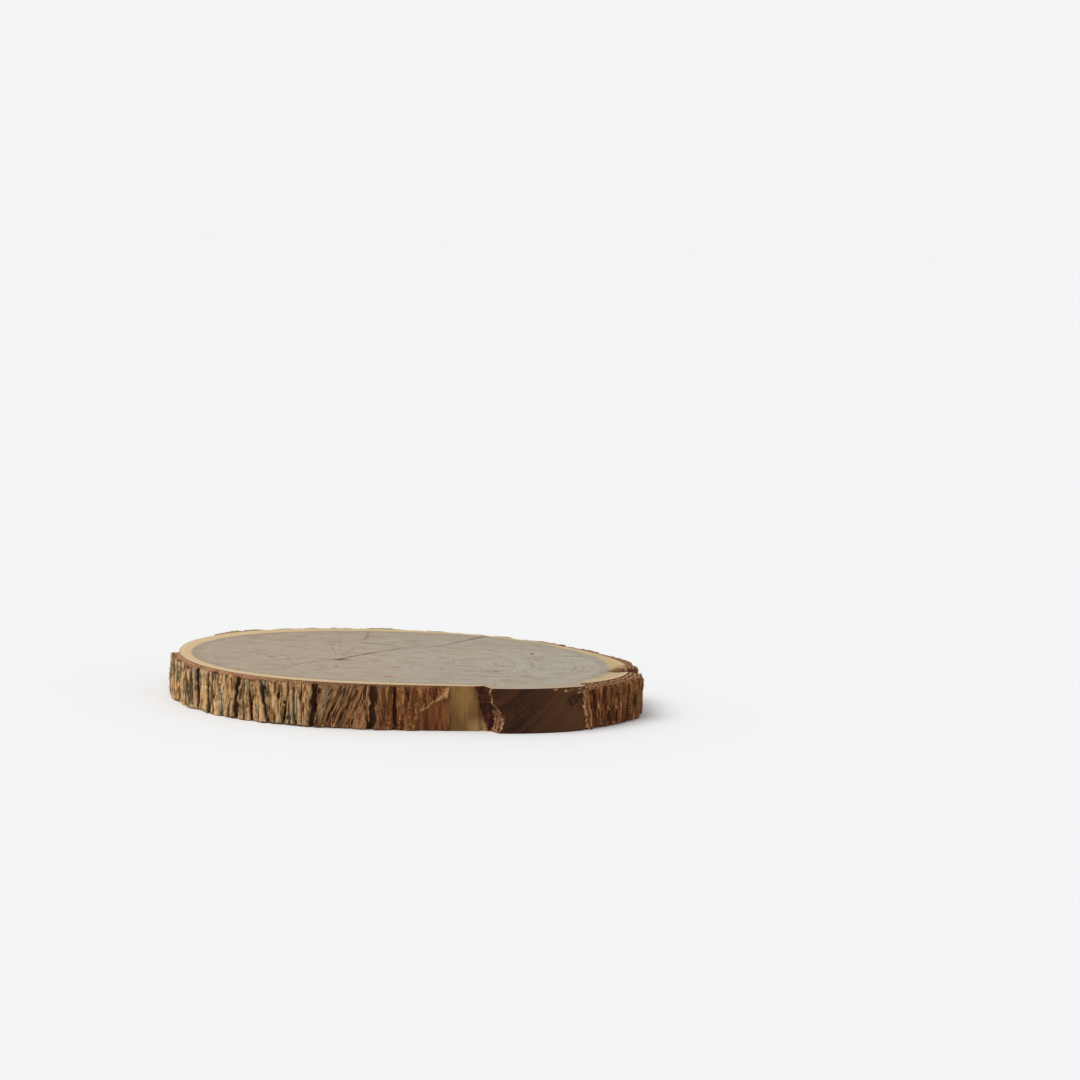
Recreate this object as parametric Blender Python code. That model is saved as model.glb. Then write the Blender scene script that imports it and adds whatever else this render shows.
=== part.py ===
"""A slice sawn across a small tree trunk, with its bark on: one solid, lying on its sawn underside.

Metres, +Z up. The origin is in the middle of the underside. Angles are degrees round the trunk,
anticlockwise from +X, and the front of the slice faces -Y (angle -90).
"""
import math
import random

import bmesh
import bpy
import numpy as np

MM = 0.001

# The sawn slice
THICKNESS = 22 * MM
AROUND = 520  # columns of faces round the wall
UP = 8  # rows of faces up the wall
CENTRE = (0.9 * MM, 1.2 * MM)  # where the outline's own centre lies, so that the box is centred on the origin

# The wood under the bark: a mean radius, and lobes as (how many round the trunk, height, angle of a crest)
WOOD_RADIUS = 106.6 * MM
WOOD_LOBES = ((1, 5.9 * MM, -130), (2, 8.4 * MM, -16), (3, 3.2 * MM, -25), (4, 2.0 * MM, -34))

# The sawn stub of a branch at the front right: a flat with a low crown, which stands proud of the wood
STUB_FROM, STUB_TO = -68, -44
STUB_FACES = -68.6
STUB_DISTANCE = 111.3 * MM
STUB_CROWN = 4 * MM
STUB_EDGE_SWING = 1.6  # how far its torn left edge swings either way between top and bottom, in degrees
STUB_EDGE_FURTHEST, STUB_EDGE_PERIOD = 0.1, 1.36  # where it is furthest left, down from the top, in thicknesses
STUB_EDGE_MIDDLE = -66.7
STUB_EDGE_SOFTNESS, STUB_END_SOFTNESS = 0.5, 1  # degrees over which it steps up from the bark at either end

# Bark thickness over the wood, as (angle, thickness), from the left end round the front and back again
BARK = (
    (-176, 6.2 * MM),
    (-150, 5.8 * MM),
    (-116, 6.6 * MM),
    (-98, 5.6 * MM),
    (-88, 4.0 * MM),
    (-78, 3.4 * MM),
    (-44, 6.0 * MM),
    (-16, 7.4 * MM),
    (20, 6.0 * MM),
    (90, 5.4 * MM),
    (149, 5.6 * MM),
)
BARE_STRETCHES = ((-78.2, -66), (150, 184))  # where the bark has come off, and the wood shows
BARE_SKIN = 0.3 * MM
EDGE_SOFTNESS = 0.35  # degrees over which bark steps down to bare wood

# A dark hollow beside the stub, widest at the top of the slice
HOLLOW_MIDDLE, HOLLOW_WIDTH, HOLLOW_DEPTH = -68.6, 1.6, 2.2 * MM
HOLLOW_FOOT = 0.35  # its width at the foot, as a share of that at the top

# A flake torn off the bark beside the bare wood: below a slanting line only the inner bark is left
FLAKE_LEFT, FLAKE_RIGHT = -86.5, -78.2
FLAKE_LEFT_HEIGHT, FLAKE_RIGHT_HEIGHT = 0.36 * THICKNESS, 0.88 * THICKNESS
FLAKE_THICKNESS = 1.7 * MM
FLAKE_SOFTNESS, FLAKE_STEP = 1, 2 * MM  # degrees and height over which its edges step down

# Bark plates: crowned lobes, each a few fissures wide
PLATE_LENGTH = 13 * MM
PLATE_CROWN = 1.9 * MM
PLATE_DRIFTS = ((0.45, 5, 40), (0.3, 9, 110))  # (plates, how many times round the trunk, degrees)

# Fissures seen in the front, as (angle, half width, depth, degrees it leans between foot and top)
MAIN_FISSURES = (
    (-157, 0.9 * MM, 2.6 * MM, 0),
    (-151, 1.0 * MM, 2.8 * MM, 0),
    (-145, 1.0 * MM, 3.2 * MM, 0),
    (-135.3, 1.5 * MM, 3.6 * MM, 0.4),
    (-127, 1.2 * MM, 3.0 * MM, -3),
    (-114, 1.2 * MM, 4.4 * MM, 0.4),
    (-99, 1.5 * MM, 4.2 * MM, 0.3),
    (-93, 1.0 * MM, 2.4 * MM, 0),
    (-41, 1.1 * MM, 3.2 * MM, -1),
    (-34, 1.0 * MM, 3.0 * MM, 1),
    (-10, 1.7 * MM, 5.6 * MM, 0),
    (28, 1.4 * MM, 4.0 * MM, 0),
    (39, 1.3 * MM, 3.8 * MM, 0.5),
    (64, 1.5 * MM, 4.4 * MM, -0.6),
)

MAIN_WANDER = 0.2  # degrees

# The many smaller fissures between them
FISSURE_SEED = 7
FISSURE_SPACING = (3.6 * MM, 6.6 * MM)
FISSURE_WIDTH = (0.7 * MM, 1.2 * MM)
FISSURE_DEPTH = (1.2 * MM, 3.2 * MM)
FISSURE_LEAN = 1.1  # degrees either way
FISSURE_WANDER = 0.35  # degrees
WANDER_TURN = 5  # radians of the wander's wave between foot and top
CLEAR_OF_MAIN = 1.3  # degrees

# A stretch at the front whose ridges lean to the right towards the top
SLANT_FROM, SLANT_TO, SLANT_FADE = -114, -99.5, 4.5  # degrees
SLANT = 5  # degrees between foot and top

# Colours, linear
CUT_WOOD_COLOUR = (0.46, 0.36, 0.25, 1)
BARK_COLOUR = (0.21, 0.11, 0.05, 1)
CUT_WOOD_ROUGHNESS, BARK_ROUGHNESS = 0.6, 0.9


def clear_scene():
    """Removes whatever objects the open file holds."""
    for item in list(bpy.data.objects):
        bpy.data.objects.remove(item, do_unlink=True)


def rise(x, start, end):
    """0 before start, 1 after end, and a smooth step between."""
    t = np.clip((x - start) / (end - start), 0, 1)
    return t * t * (3 - 2 * t)


def wood_radius(angle):
    """The wood's outline under the bark."""
    radius = WOOD_RADIUS
    for count, height, crest in WOOD_LOBES:
        radius = radius + height * np.cos(count * np.radians(angle - crest))
    return radius


def stub_radius(angle):
    """The stub's sawn face."""
    middle, half = (STUB_FROM + STUB_TO) / 2, (STUB_TO - STUB_FROM) / 2
    reached = np.clip(angle, STUB_FROM - STUB_EDGE_SWING, STUB_TO)
    crown = STUB_CROWN * (1 - ((reached - middle) / half) ** 2)
    return (STUB_DISTANCE + crown) / np.cos(np.radians(reached - STUB_FACES))


def stub_edge(height):
    """The angle of the stub's torn left edge, which swings right towards the foot."""
    past = 1 - height / THICKNESS - STUB_EDGE_FURTHEST
    return STUB_EDGE_MIDDLE - STUB_EDGE_SWING * np.cos(2 * math.pi * past / STUB_EDGE_PERIOD)


def bare_cover(angle):
    """1 on bark and 0 on the bare stretches, with angle between -180 and 180."""
    cover = 1.0
    for start, end in BARE_STRETCHES:
        for turn in (-360, 0):
            inside = rise(angle, start + turn, start + turn + EDGE_SOFTNESS) * (
                1 - rise(angle, end + turn - EDGE_SOFTNESS, end + turn)
            )
            cover = cover * (1 - inside)
    return cover


def plate_relief(angle, radius):
    """Crowned lobes along the bark, whose lengths drift a little round the trunk."""
    run = np.radians(angle) * radius / PLATE_LENGTH
    for plates, times, start in PLATE_DRIFTS:
        run = run + plates * np.sin(np.radians(times * angle + start))
    return PLATE_CROWN * (np.abs(np.cos(math.pi / 2 * run)) - 1)


def grow_fissures():
    """All fissures as (angle, half width, depth, lean, wander, phase), seeded."""
    rng = random.Random(FISSURE_SEED)
    fissures = [(*main, MAIN_WANDER, index) for index, main in enumerate(MAIN_FISSURES)]
    angle = -180.0
    while angle < 180:
        angle += math.degrees(rng.uniform(*FISSURE_SPACING) / float(wood_radius(angle)))
        lean = rng.uniform(-FISSURE_LEAN, FISSURE_LEAN)
        width, depth = rng.uniform(*FISSURE_WIDTH), rng.uniform(*FISSURE_DEPTH)
        phase = rng.uniform(0, 2 * math.pi)
        if all(abs(angle - main[0]) > CLEAR_OF_MAIN for main in MAIN_FISSURES):
            fissures.append((angle, width, depth, lean, FISSURE_WANDER, phase))
    return fissures


def fissure_depth(angle, height, radius, fissures):
    """How deep the deepest fissure at a point is."""
    up = height / THICKNESS
    deepest = 0.0
    for at, width, depth, lean, wander, phase in fissures:
        line = at + lean * (up - 0.5) + wander * np.sin(WANDER_TURN * up + phase)
        aside = (angle - line + 180) % 360 - 180
        deepest = np.maximum(deepest, depth * np.exp(-((np.radians(aside) * radius / width) ** 2)))
    return deepest


def bark_thickness(angle, height, radius, fissures):
    """What the bark adds to the wood at a point."""
    angles, depths = zip(*BARK)
    thickness = np.interp(angle, angles, depths, period=360)
    flake_line = np.interp(angle, (FLAKE_LEFT, FLAKE_RIGHT), (FLAKE_LEFT_HEIGHT, FLAKE_RIGHT_HEIGHT))
    torn = rise(angle, FLAKE_LEFT, FLAKE_LEFT + FLAKE_SOFTNESS)
    torn = torn * (1 - rise(angle, FLAKE_RIGHT, FLAKE_RIGHT + FLAKE_SOFTNESS))
    torn = torn * (1 - rise(height, flake_line - FLAKE_STEP / 2, flake_line + FLAKE_STEP / 2))
    relief = plate_relief(angle, radius) - fissure_depth(angle, height, radius, fissures)
    whole = np.maximum(thickness + relief, BARE_SKIN)
    whole = whole * (1 - torn) + FLAKE_THICKNESS * torn
    cover = bare_cover(angle)
    return whole * cover + BARE_SKIN * (1 - cover)


def wall_radius(angle, height, fissures):
    """The slice's radius at an angle and a height: bark, bare wood, the hollow and the stub."""
    wood = wood_radius(angle)
    barked = wood + bark_thickness(angle, height, wood, fissures)
    hollow_width = HOLLOW_WIDTH * (HOLLOW_FOOT + (1 - HOLLOW_FOOT) * height / THICKNESS)
    hollow = HOLLOW_DEPTH * np.exp(-(((angle - HOLLOW_MIDDLE) / hollow_width) ** 2))
    edge = stub_edge(height)
    on_stub = rise(angle, edge - STUB_EDGE_SOFTNESS / 2, edge + STUB_EDGE_SOFTNESS / 2)
    on_stub = on_stub * (1 - rise(angle, STUB_TO - STUB_END_SOFTNESS, STUB_TO))
    return (barked - hollow) * (1 - on_stub) + stub_radius(angle) * on_stub


def leaned(angle, height):
    """Where a column of faces that stands at an angle at mid height lies at another height."""
    slanted = rise(angle, SLANT_FROM, SLANT_FROM + SLANT_FADE) * (1 - rise(angle, SLANT_TO - SLANT_FADE, SLANT_TO))
    return angle + SLANT * slanted * (height / THICKNESS - 0.5)


def principled(name, colour, roughness):
    """A plain material."""
    material = bpy.data.materials.new(name)
    material.use_nodes = True
    shader = material.node_tree.nodes["Principled BSDF"]
    shader.inputs["Base Color"].default_value = colour
    shader.inputs["Roughness"].default_value = roughness
    shader.inputs["Metallic"].default_value = 0
    return material


def sawn_disc():
    """A plain disc of the slice's thickness, with its wall cut into rows of faces."""
    disc = bmesh.new()
    bmesh.ops.create_cone(
        disc, cap_ends=True, segments=AROUND, radius1=WOOD_RADIUS, radius2=WOOD_RADIUS, depth=THICKNESS
    )
    bmesh.ops.translate(disc, verts=disc.verts, vec=(0, 0, THICKNESS / 2))
    upright = [edge for edge in disc.edges if abs(edge.verts[0].co.z - edge.verts[1].co.z) > THICKNESS / 2]
    bmesh.ops.subdivide_edges(disc, edges=upright, cuts=UP - 1)
    return disc


def make_slice(collection):
    """The slice: the disc with its wall moved out to the trunk's outline and its bark."""
    disc = sawn_disc()
    angles = np.degrees([math.atan2(corner.co.y, corner.co.x) for corner in disc.verts])
    heights = np.array([corner.co.z for corner in disc.verts])
    radii = wall_radius(angles, heights, grow_fissures())
    for corner, angle, radius in zip(disc.verts, np.radians(leaned(angles, heights)), radii):
        corner.co.x = CENTRE[0] + radius * math.cos(angle)
        corner.co.y = CENTRE[1] + radius * math.sin(angle)
    mesh = bpy.data.meshes.new("wood_slice")
    mesh.materials.append(principled("cut_wood", CUT_WOOD_COLOUR, CUT_WOOD_ROUGHNESS))
    mesh.materials.append(principled("bark", BARK_COLOUR, BARK_ROUGHNESS))
    disc.normal_update()
    for face in disc.faces:
        face.material_index = 0 if abs(face.normal.z) > 0.99 else 1
    disc.to_mesh(mesh)
    disc.free()
    piece = bpy.data.objects.new("wood_slice", mesh)
    collection.objects.link(piece)
    return piece


def main():
    clear_scene()
    collection = bpy.data.collections.new("wood_slice")
    bpy.context.scene.collection.children.link(collection)
    make_slice(collection)


main()
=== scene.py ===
"""The looks of a slice sawn across a small tree trunk: its wood, its bark, and the fibres on the bark.

Metres, +Z up. Angles are degrees round the trunk's outline, anticlockwise from +X, and the front of the
slice faces -Y (angle -90). The outline, the stub, the bark's plates and its fissures follow the same
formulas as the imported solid, on a finer grid, and the finest relief is cut into them. The plates at the
back, the bark at the right and some fibres stand a little proud of the solid.
"""
import math
import random

import bpy
import numpy as np
from mathutils import Matrix, Vector


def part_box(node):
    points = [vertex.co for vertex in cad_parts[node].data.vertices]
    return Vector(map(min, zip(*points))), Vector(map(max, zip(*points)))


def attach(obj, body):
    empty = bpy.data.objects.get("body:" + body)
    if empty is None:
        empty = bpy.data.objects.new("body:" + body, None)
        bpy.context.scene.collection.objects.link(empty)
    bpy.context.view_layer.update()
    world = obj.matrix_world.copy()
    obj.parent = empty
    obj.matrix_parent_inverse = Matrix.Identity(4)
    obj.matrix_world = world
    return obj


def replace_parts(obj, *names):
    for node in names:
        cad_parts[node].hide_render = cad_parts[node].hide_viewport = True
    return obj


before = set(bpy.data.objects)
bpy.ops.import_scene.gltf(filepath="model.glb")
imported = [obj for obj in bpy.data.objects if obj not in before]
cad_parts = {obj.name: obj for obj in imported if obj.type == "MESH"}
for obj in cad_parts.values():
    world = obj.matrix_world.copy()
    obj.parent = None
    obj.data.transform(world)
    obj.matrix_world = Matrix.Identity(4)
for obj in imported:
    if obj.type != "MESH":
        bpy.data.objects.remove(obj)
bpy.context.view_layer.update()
NODE = "wood_slice"
FOOT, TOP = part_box(NODE)[0].z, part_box(NODE)[1].z
MM = 0.001

# The trunk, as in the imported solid
THICKNESS = TOP - FOOT
CENTRE = np.array((0.9 * MM, 1.2 * MM))
WOOD_RADIUS = 106.6 * MM
WOOD_LOBES = ((1, 5.9 * MM, -130), (2, 8.4 * MM, -16), (3, 3.2 * MM, -25), (4, 2.0 * MM, -34))
STUB_FROM, STUB_TO = -68, -44
STUB_FACES = -68.6
STUB_DISTANCE = 111.3 * MM
STUB_CROWN = 4 * MM
STUB_EDGE_SWING = 1.6
STUB_EDGE_FURTHEST, STUB_EDGE_PERIOD = 0.1, 1.36
STUB_EDGE_MIDDLE = -66.7
# Bark thickness over the wood, as (angle, mm)
BARK = (
    (-176, 6.2), (-150, 5.8), (-116, 6.6), (-98, 5.6), (-88, 4.0), (-78, 3.4), (-44, 6.0), (-16, 7.4),
    (20, 6.0), (90, 5.4), (149, 5.6),
)
BARE_SKIN = 0.3 * MM
HOLLOW_MIDDLE, HOLLOW_WIDTH, HOLLOW_DEPTH = -68.6, 1.6, 2.2 * MM
HOLLOW_FOOT = 0.35
FLAKE_LEFT, FLAKE_RIGHT = -86.5, -78.2
FLAKE_LEFT_HEIGHT, FLAKE_RIGHT_HEIGHT = 0.36 * THICKNESS, 0.88 * THICKNESS
FLAKE_THICKNESS = 1.7 * MM
FLAKE_SOFTNESS = 1
PLATE_LENGTH = 13 * MM
PLATE_CROWN = 1.9 * MM
PLATE_DRIFTS = ((0.45, 5, 40), (0.3, 9, 110))
# As (angle, half width and depth in mm, lean)
MAIN_FISSURES = (
    (-157, 0.9, 2.6, 0), (-151, 1.0, 2.8, 0), (-145, 1.0, 3.2, 0), (-135.3, 1.5, 3.6, 0.4),
    (-127, 1.2, 3.0, -3), (-114, 1.2, 4.4, 0.4), (-99, 1.5, 4.2, 0.3), (-93, 1.0, 2.4, 0),
    (-41, 1.1, 3.2, -1), (-34, 1.0, 3.0, 1), (-10, 1.7, 5.6, 0), (28, 1.4, 4.0, 0),
    (39, 1.3, 3.8, 0.5), (64, 1.5, 4.4, -0.6),
)
MAIN_WANDER = 0.2
FISSURE_SEED = 7
FISSURE_SPACING = (3.6 * MM, 6.6 * MM)
FISSURE_WIDTH = (0.7 * MM, 1.2 * MM)
FISSURE_DEPTH = (0.5 * MM, 1.6 * MM)  # less than in the solid: the strands take their place
FISSURE_LEAN = 1.1
FISSURE_WANDER = 0.35
FISSURE_LEFT, FISSURE_RIGHT = 0.7, 1.45  # a fissure's reach to either side, in half widths
WANDER_TURN = 5
CLEAR_OF_MAIN = 1.3
SLANT_FROM, SLANT_TO, SLANT_FADE = -114, -99.5, 4.5
SLANT = 5

# The stretches of bark that are left, as (name, from, to, width of a column, rows, strips of its map)
STUB_BARK_FROM = -45.4  # bark lies over the stub's right end
BARK_STRETCHES = (
    ("bark_left", -176, -78.2, 0.18 * MM, 72, 2),
    ("bark_right", STUB_BARK_FROM, 28, 0.18 * MM, 72, 2),
    ("bark_back", 28, 150, 0.3 * MM, 52, 3),
)

# The sawn faces, in metres from the outline's centre
PITH = (-35.1 * MM, -20.0 * MM)
HEART_RADIUS = 99.5 * MM
HEART_LOBES = ((1, 5.9 * MM, -126), (2, 7.2 * MM, -12), (3, 2.8 * MM, -37), (4, 1.8 * MM, -38))

# Cracks that run out from the pith, as (points in mm, half width, depth, how far out they are open)
LONG_CRACK = (
    (-34.4, -18.9), (-29.7, -11.6), (-18.4, 6.3), (-3.6, 25.6), (-1.5, 28.3), (2.1, 27.4), (10.4, 32.7),
    (21.2, 47.1), (33.1, 67.2), (39.3, 75.1), (44.4, 84.4), (46.3, 90.3), (50.0, 99.0),
)
SHORT_CRACK = ((-36.2, -21.2), (-42.0, -27.2), (-47.8, -32.0), (-53.0, -38.6), (-58.3, -46.0), (-66.0, -56.0))
CRACKS = ((LONG_CRACK, 0.42 * MM, 2.6 * MM, 68 * MM), (SHORT_CRACK, 0.24 * MM, 1.4 * MM, 34 * MM))

# The wedge that opens at the right, in mm: its tip, how far it runs, its half width there and how it widens
WEDGE_TIP, WEDGE_WAY = (102.5, -36.0), (14.5, 17.0)
WEDGE_NARROW, WEDGE_WIDENS = 0.9, 11.0
# The wedge's depth, and how far past its edge its dark brown is painted: its own colour with painted shade of
# its inside
WEDGE_DEPTH, WEDGE_DARK_SPREAD = 2.6 * MM, 1.3 * MM
# The slit at the pith: how far it lies aside, its turn, its half length and half width, and its depth
SLIT_ASIDE, SLIT_TURN = 1.3 * MM, 22
SLIT_LENGTH, SLIT_WIDTH, SLIT_DEPTH = 4.2 * MM, 1.5 * MM, 1.2 * MM

# Lines drawn on the top face, as (x, y, x, y, half width) in mm and strength
# The grey lines run along the open cracks: painted shade of the cracks, wider than their grooves
GREY_LINES = (
    (-33.5, -18.0, -29.7, -11.6, 1.0, 0.55),
    (-29.7, -11.6, -18.4, 6.3, 1.0, 0.7),
    (-18.4, 6.3, -3.6, 25.6, 0.9, 0.6),
    (-37.0, -22.0, -47.8, -32.0, 0.7, 0.45),
    (-47.8, -32.0, -56.0, -42.5, 0.6, 0.4),
)
BROWN_LINES = (
    (-24.0, 43.2, -15.7, 41.3, 1.3, 0.55),
    (-15.7, 41.3, -8.9, 38.6, 1.6, 0.6),
    (-8.9, 38.6, -1.5, 29.0, 0.9, 0.45),
    (-1.5, 28.3, 10.4, 32.7, 1.0, 0.4),
    (10.4, 32.7, 21.2, 47.1, 2.2, 0.35),
    (21.2, 47.1, 33.1, 67.2, 2.0, 0.35),
    (33.1, 67.2, 46.3, 92.3, 2.8, 0.45),
    (8.0, 31.0, 21.2, 47.1, 0.8, 0.62),
    (21.2, 47.1, 33.1, 67.2, 0.8, 0.66),
    (33.1, 67.2, 46.3, 92.3, 1.1, 0.8),
    (-35.9, -4.7, -39.7, 36.1, 0.5, 0.28),
    (-32.6, -6.5, -26.8, 26.5, 0.6, 0.38),
    (-34.3, 13.9, -34.8, 58.8, 0.5, 0.25),
    (-20.6, 83.7, -21.9, 54.0, 1.2, 0.4),
    (-16.0, -9.8, -4.9, -4.6, 0.4, 0.3),
    (44.5, -81.0, 42.2, -96.2, 0.4, 0.55),
    (97.5, -39.0, 104.0, -34.0, 1.2, 0.6),
)
# Stains and specks there, as (x, y, half length, half width) in mm and strength
STAINS = (
    (-8.9, -73.5, 4.4, 5.0, 0.8), (-3.5, -76.0, 2.2, 2.4, 0.6), (-14.0, -71.0, 3.0, 2.4, 0.35),
    (31.0, 26.0, 10.0, 9.0, 0.28), (55.0, 30.0, 8.0, 6.0, 0.2), (6.8, -76.0, 2.2, 2.4, 0.4),
    (22.5, -72.9, 2.6, 2.2, 0.35), (-68.0, -16.5, 4.0, 4.0, 0.3),
)
DARK_SPECKS = (
    (-32.9, -20.2, 6.2, 3.6, 0.85), (64.6, 20.3, 1.1, 4.6, 0.95), (-68.4, -16.9, 2.4, 3.4, 0.45),
    (-59.7, -23.2, 2.6, 3.0, 0.5), (-54.5, -24.0, 2.2, 2.4, 0.4), (-57.7, -51.4, 0.8, 2.4, 0.5),
    (-51.2, -68.4, 0.7, 2.4, 0.45), (-34.7, -44.2, 1.2, 3.4, 0.65), (-4.7, -40.4, 1.0, 2.6, 0.5),
    (17.8, -44.4, 1.7, 3.2, 0.5), (12.7, -74.2, 2.0, 1.8, 0.35), (44.6, -44.0, 0.9, 3.6, 0.7),
    (46.7, -43.6, 0.7, 2.4, 0.5), (59.2, -44.5, 1.5, 2.6, 0.5),
)

# The plates at the back, as (from, to, thickness there in mm: at its start, its middle and its end)
BACK_PLATES = (
    (-4, 19.4, 6.4, 6.2, 3.0), (19.4, 35.7, 5.0, 5.6, 0.9), (35.7, 53.7, 6.0, 5.0, 0.6),
    (53.7, 62.9, 1.4, 4.8, 1.2), (62.9, 70.9, 1.6, 3.2, 0.6), (70.9, 76.4, 0.8, 2.4, 0.6),
    (76.4, 84.7, 1.0, 4.6, 1.6), (84.7, 89.8, 2.0, 2.6, 0.5), (89.8, 105.2, 1.0, 5.8, 1.2),
    (105.2, 110.6, 1.4, 3.6, 2.0), (110.6, 113.9, 2.2, 4.4, 1.8), (113.9, 121.7, 2.0, 4.4, 1.8),
    (121.7, 132.2, 2.6, 3.8, 1.0), (132.2, 139.6, 1.4, 6.4, 2.4), (139.6, 150, 6.4, 4.8, 3.2),
)
BACK_SCALE = 1.2
BACK_FROM = (-3, 4)  # where the front's plates give way to them
# Small hollows in the bark, as (angle, height, half width, depth)
BARK_PITS = ((-121.6, 11.0 * MM, 0.9 * MM, 2.0 * MM), (-160.5, 7.0 * MM, 0.8 * MM, 1.2 * MM))

# How the bark changes round the trunk, as (angle, value)
SHAGGY = (
    (-176, 1), (-118, 1), (-112, 0.85), (-100, 0.8), (-94, 0.4), (-79, 0.35), (-44, 0.75), (10, 0.85),
    (150, 0.9),
)
SCALY = ((-176, 0.25), (-100, 0.25), (-95, 0.9), (-79, 1), (-44, 0.9), (0, 0.8), (30, 0.4), (150, 0.3))
SCALE_HEIGHT = ((-176, 8), (-79, 8), (-48, 55), (20, 55), (60, 12))
FULLER = ((-36, 0), (-24, 1.2), (-8, 1.2), (3, 0))  # mm of bark more than in the solid
GREYER = (
    (-176, 0.1), (-150, 0.08), (-130, -0.02), (-116, 0.0), (-104, -0.15), (-90, -0.25), (-44, -0.15),
    (20, 0.05),
)
REDDER = (
    (-176, 0.05), (-118, 0.15), (-112, 0.55), (-100, 0.65), (-95, 0.95), (-79, 1), (-44, 0.9), (-20, 0.75),
    (20, 0.4), (150, 0.15),
)
DARKER = (
    (-176, 0), (-118, 0), (-110, 0.42), (-98, 0.5), (-79, 0.4), (-48, 0.85), (-20, 0.8), (10, 0.5), (60, 0.2),
    (150, 0),
)
# Where the scales' free edges get painted highlights
HIGHLIT_EDGES = ((-95, 0.25), (-79, 0.3), (-44, 1), (0, 1), (40, 0.3))
# The same for its sawn rim
RIM_ROUGH = ((-176, 1.2), (-120, 1), (20, 1), (45, 0.2), (150, 0.2))
RIM_FALL = (
    (-176, 1.6), (-158, 1.5), (-130, 1.2), (-116, 0.9), (-110, 0.5), (-84, 0.25), (-79, 0.12), (-48, 1.0),
    (-30, 0.8), (-21, 0.3), (-8, 0.3), (2, 0.15), (150, 0.12),
)
RIM_STEPPED = ((-48, 1), (-30, 0.9), (-19, 0.4), (-2, 0.3), (10, 0.1), (150, 0), (184, 0), (310, 0))
RIM_LOOKS = {
    "layered": ((-176, 0), (-52, 0), (-48, 0.65), (0, 0.65), (30, 0.3)),
    "crumbly": ((-176, 0.7), (-79, 0.7), (-46, 0.2), (0, 0.2), (45, 0.25), (150, 0.25)),
    # brown darkens the rim over the front and right: over the front it is painted shade along the thin rim,
    # over the right the rim's own colour
    "brown": ((-176, 0), (-132, 0.15), (-112, 0.9), (-79, 1), (-48, 0.9), (0, 0.75), (40, 0.3)),
    "weathered": ((-176, 0), (10, 0), (40, 0.7), (70, 1), (150, 1), (176, 0.4)),
}
# And for the wood's edge and the stub
BAST = ((-176, 1), (-140, 0.7), (-80, 0.5), (150, 1))
WARM = ((-60, 0), (-47, 0.8), (-44, 0.9), (-40, 0))


def rise(x, start, end):
    """0 before start, 1 after end, and a smooth step between."""
    t = np.clip((x - start) / (end - start), 0, 1)
    return t * t * (3 - 2 * t)


def bell(off, width):
    """1 in the middle, and less and less beyond a width."""
    return np.exp(-((off / width) ** 2))


def zone(angle, stops):
    """A number that changes round the trunk, from (angle, value) stops."""
    at, values = zip(*stops)
    return np.interp(angle, at, values, period=360)


def lobed(angle, radius, lobes):
    """A rounded outline: a mean radius and its lobes."""
    for count, height, crest in lobes:
        radius = radius + height * np.cos(count * np.radians(angle - crest))
    return radius


def wood_radius(angle):
    """The wood's outline under the bark."""
    return lobed(angle, WOOD_RADIUS, WOOD_LOBES)


def stub_radius(angle):
    """The sawn face of the branch stub."""
    middle, half = (STUB_FROM + STUB_TO) / 2, (STUB_TO - STUB_FROM) / 2
    reached = np.clip(angle, STUB_FROM - STUB_EDGE_SWING, STUB_TO)
    crown = STUB_CROWN * (1 - ((reached - middle) / half) ** 2)
    return (STUB_DISTANCE + crown) / np.cos(np.radians(reached - STUB_FACES))


def plate_relief(angle, radius):
    """Crowned lobes along the bark, whose lengths drift a little round the trunk."""
    run = np.radians(angle) * radius / PLATE_LENGTH
    for plates, times, start in PLATE_DRIFTS:
        run = run + plates * np.sin(np.radians(times * angle + start))
    return PLATE_CROWN * (np.abs(np.cos(math.pi / 2 * run)) - 1)


def grow_fissures():
    """All fissures as (angle, half width, depth, lean, wander, phase), seeded."""
    rng = random.Random(FISSURE_SEED)
    fissures = [
        (at, width * MM, depth * MM, lean, MAIN_WANDER, index)
        for index, (at, width, depth, lean) in enumerate(MAIN_FISSURES)
    ]
    angle = -180.0
    while angle < 180:
        angle += math.degrees(rng.uniform(*FISSURE_SPACING) / float(wood_radius(angle)))
        lean = rng.uniform(-FISSURE_LEAN, FISSURE_LEAN)
        width, depth = rng.uniform(*FISSURE_WIDTH), rng.uniform(*FISSURE_DEPTH)
        phase = rng.uniform(0, 2 * math.pi)
        if all(abs(angle - main[0]) > CLEAR_OF_MAIN for main in MAIN_FISSURES):
            fissures.append((angle, width, depth, lean, FISSURE_WANDER, phase))
    return fissures


def fissure_depth(angle, height, radius, fissures):
    """How deep the deepest fissure at a point is."""
    up = height / THICKNESS
    deepest = np.zeros(np.broadcast(angle, height).shape)
    jagged = angle + 0.3 * noise(angle / 5, height / (2.2 * MM), 55)
    uneven = np.clip(0.8 + 0.5 * noise(angle / 2, height / (5 * MM), 56), 0.3, 1)
    for at, width, depth, lean, wander, phase in fissures:
        line = at + lean * (up - 0.5) + wander * np.sin(WANDER_TURN * up + phase)
        aside = (jagged - line + 180) % 360 - 180
        reach = np.where(aside > 0, FISSURE_RIGHT, FISSURE_LEFT) * width
        deepest = np.maximum(deepest, depth * bell(np.radians(aside) * radius, reach))
    return deepest * uneven


def leaned(angle, height):
    """Where a column that stands at an angle at mid height lies at another height."""
    entered = rise(angle, SLANT_FROM, SLANT_FROM + SLANT_FADE)
    slanted = entered * (1 - rise(angle, SLANT_TO - SLANT_FADE, SLANT_TO))
    return angle + SLANT * slanted * (height / THICKNESS - 0.5)


LATTICE = 256
LATTICES = {}
SHARP_ANGLE = 55


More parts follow.
